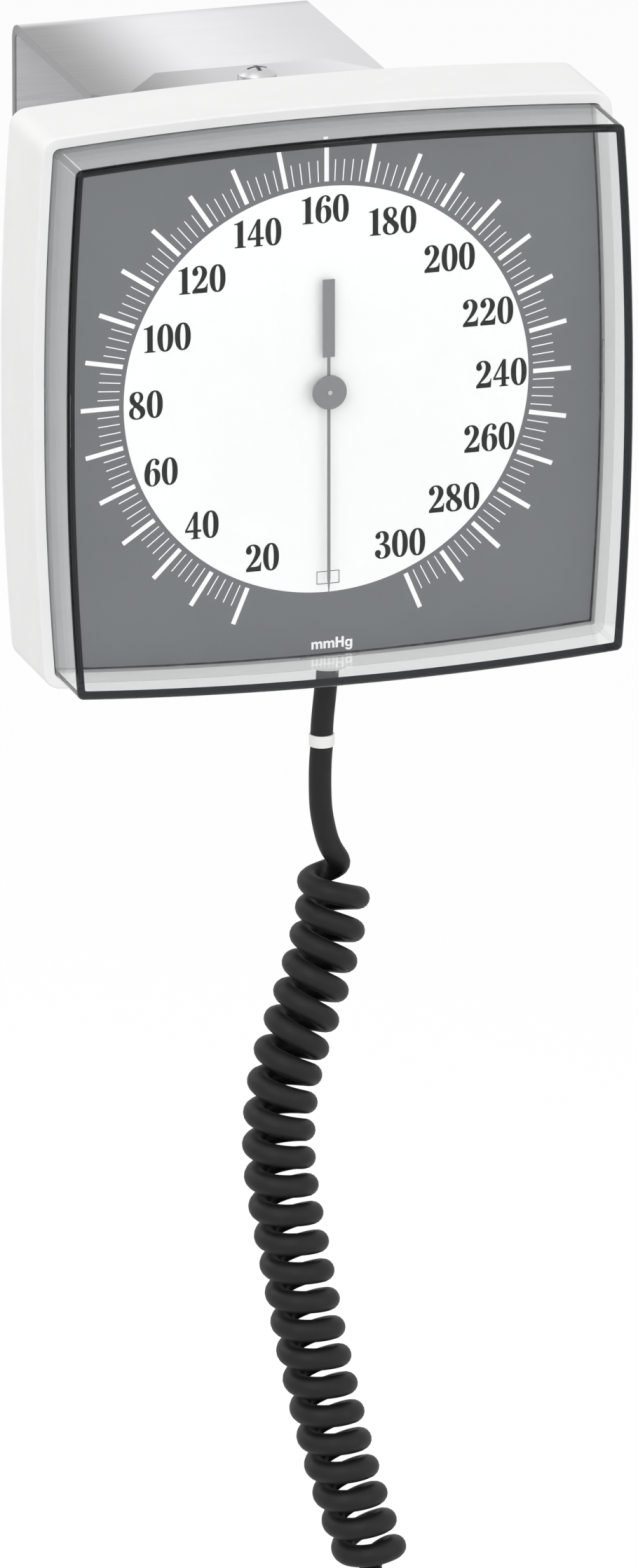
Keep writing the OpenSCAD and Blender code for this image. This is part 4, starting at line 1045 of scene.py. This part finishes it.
# Stage
FLOOR_SIZE = 80
FLOOR_Z = -0.75
FLOOR_GLOW = 1.12
GLOW_SHARE = 0.7
WORLD_LIGHT = 0.62
LAMPS_AIM = (0, -0.16, -0.05)
LAMPS = [
    ("key_lamp", (-1.5, -2.3, 1.7), 2.6, 34),
    ("fill_lamp", (1.7, -2.2, 0.5), 2.2, 15),
    ("top_lamp", (-0.6, -0.3, 2.6), 1.6, 10),
    ("back_lamp", (-1.6, 1.6, 1.6), 1.6, 12),
]


def seen_share(t):
    """1 for what the camera sees, also in a mirror or through the cover, and 0 for light on its way"""
    paths = t.nodes.new("ShaderNodeLightPath")
    total = paths.outputs["Is Camera Ray"]
    for name in ("Is Glossy Ray", "Is Transmission Ray"):
        both = t.nodes.new("ShaderNodeMath")
        both.operation = "MAXIMUM"
        t.links.new(total, both.inputs[0])
        t.links.new(paths.outputs[name], both.inputs[1])
        total = both.outputs[0]
    return total


def make_floor():
    """A pale floor that keeps a soft shadow and is unseen from below"""
    deselect_all()
    bpy.ops.mesh.primitive_plane_add(size=FLOOR_SIZE, location=(0, 0, FLOOR_Z))
    floor = bpy.context.active_object
    floor.name = "floor"
    m = bpy.data.materials.new("pale_floor")
    m.use_nodes = True
    t = m.node_tree
    t.nodes.clear()
    share = t.nodes.new("ShaderNodeMath")
    share.operation = "MULTIPLY"
    share.inputs[1].default_value = GLOW_SHARE
    mix = t.nodes.new("ShaderNodeMixShader")
    matt = t.nodes.new("ShaderNodeBsdfDiffuse")
    matt.inputs["Color"].default_value = (0.85, 0.85, 0.85, 1)
    glow = t.nodes.new("ShaderNodeEmission")
    glow.inputs["Strength"].default_value = FLOOR_GLOW
    below = t.nodes.new("ShaderNodeNewGeometry")
    through = t.nodes.new("ShaderNodeBsdfTransparent")
    sides = t.nodes.new("ShaderNodeMixShader")
    out = t.nodes.new("ShaderNodeOutputMaterial")
    t.links.new(seen_share(t), share.inputs[0])
    t.links.new(share.outputs[0], mix.inputs[0])
    t.links.new(matt.outputs[0], mix.inputs[1])
    t.links.new(glow.outputs[0], mix.inputs[2])
    t.links.new(below.outputs["Backfacing"], sides.inputs[0])
    t.links.new(mix.outputs[0], sides.inputs[1])
    t.links.new(through.outputs[0], sides.inputs[2])
    t.links.new(sides.outputs[0], out.inputs["Surface"])
    floor.data.materials.append(m)


def make_world():
    """White where it is seen, and dimmer as a light"""
    world = bpy.context.scene.world or bpy.data.worlds.new("studio")
    bpy.context.scene.world = world
    world.use_nodes = True
    t = world.node_tree
    t.nodes.clear()
    level = t.nodes.new("ShaderNodeMapRange")
    level.inputs["To Min"].default_value = WORLD_LIGHT
    level.inputs["To Max"].default_value = 1.0
    back = t.nodes.new("ShaderNodeBackground")
    back.inputs["Color"].default_value = (1, 1, 1, 1)
    out = t.nodes.new("ShaderNodeOutputWorld")
    t.links.new(seen_share(t), level.inputs["Value"])
    t.links.new(level.outputs["Result"], back.inputs["Strength"])
    t.links.new(back.outputs[0], out.inputs["Surface"])


def soft_lamp(name, place, size, power):
    deselect_all()
    turn = (Vector(LAMPS_AIM) - Vector(place)).to_track_quat("-Z", "Y").to_euler()
    bpy.ops.object.light_add(type="AREA", location=place, rotation=turn)
    lamp = bpy.context.active_object
    lamp.name = name
    lamp.data.shape = "SQUARE"
    lamp.data.size = size
    lamp.data.energy = power


make_floor()
make_world()
for lamp in LAMPS:
    soft_lamp(*lamp)
bpy.context.scene.view_settings.view_transform = "Standard"

bpy.context.view_layer.update()
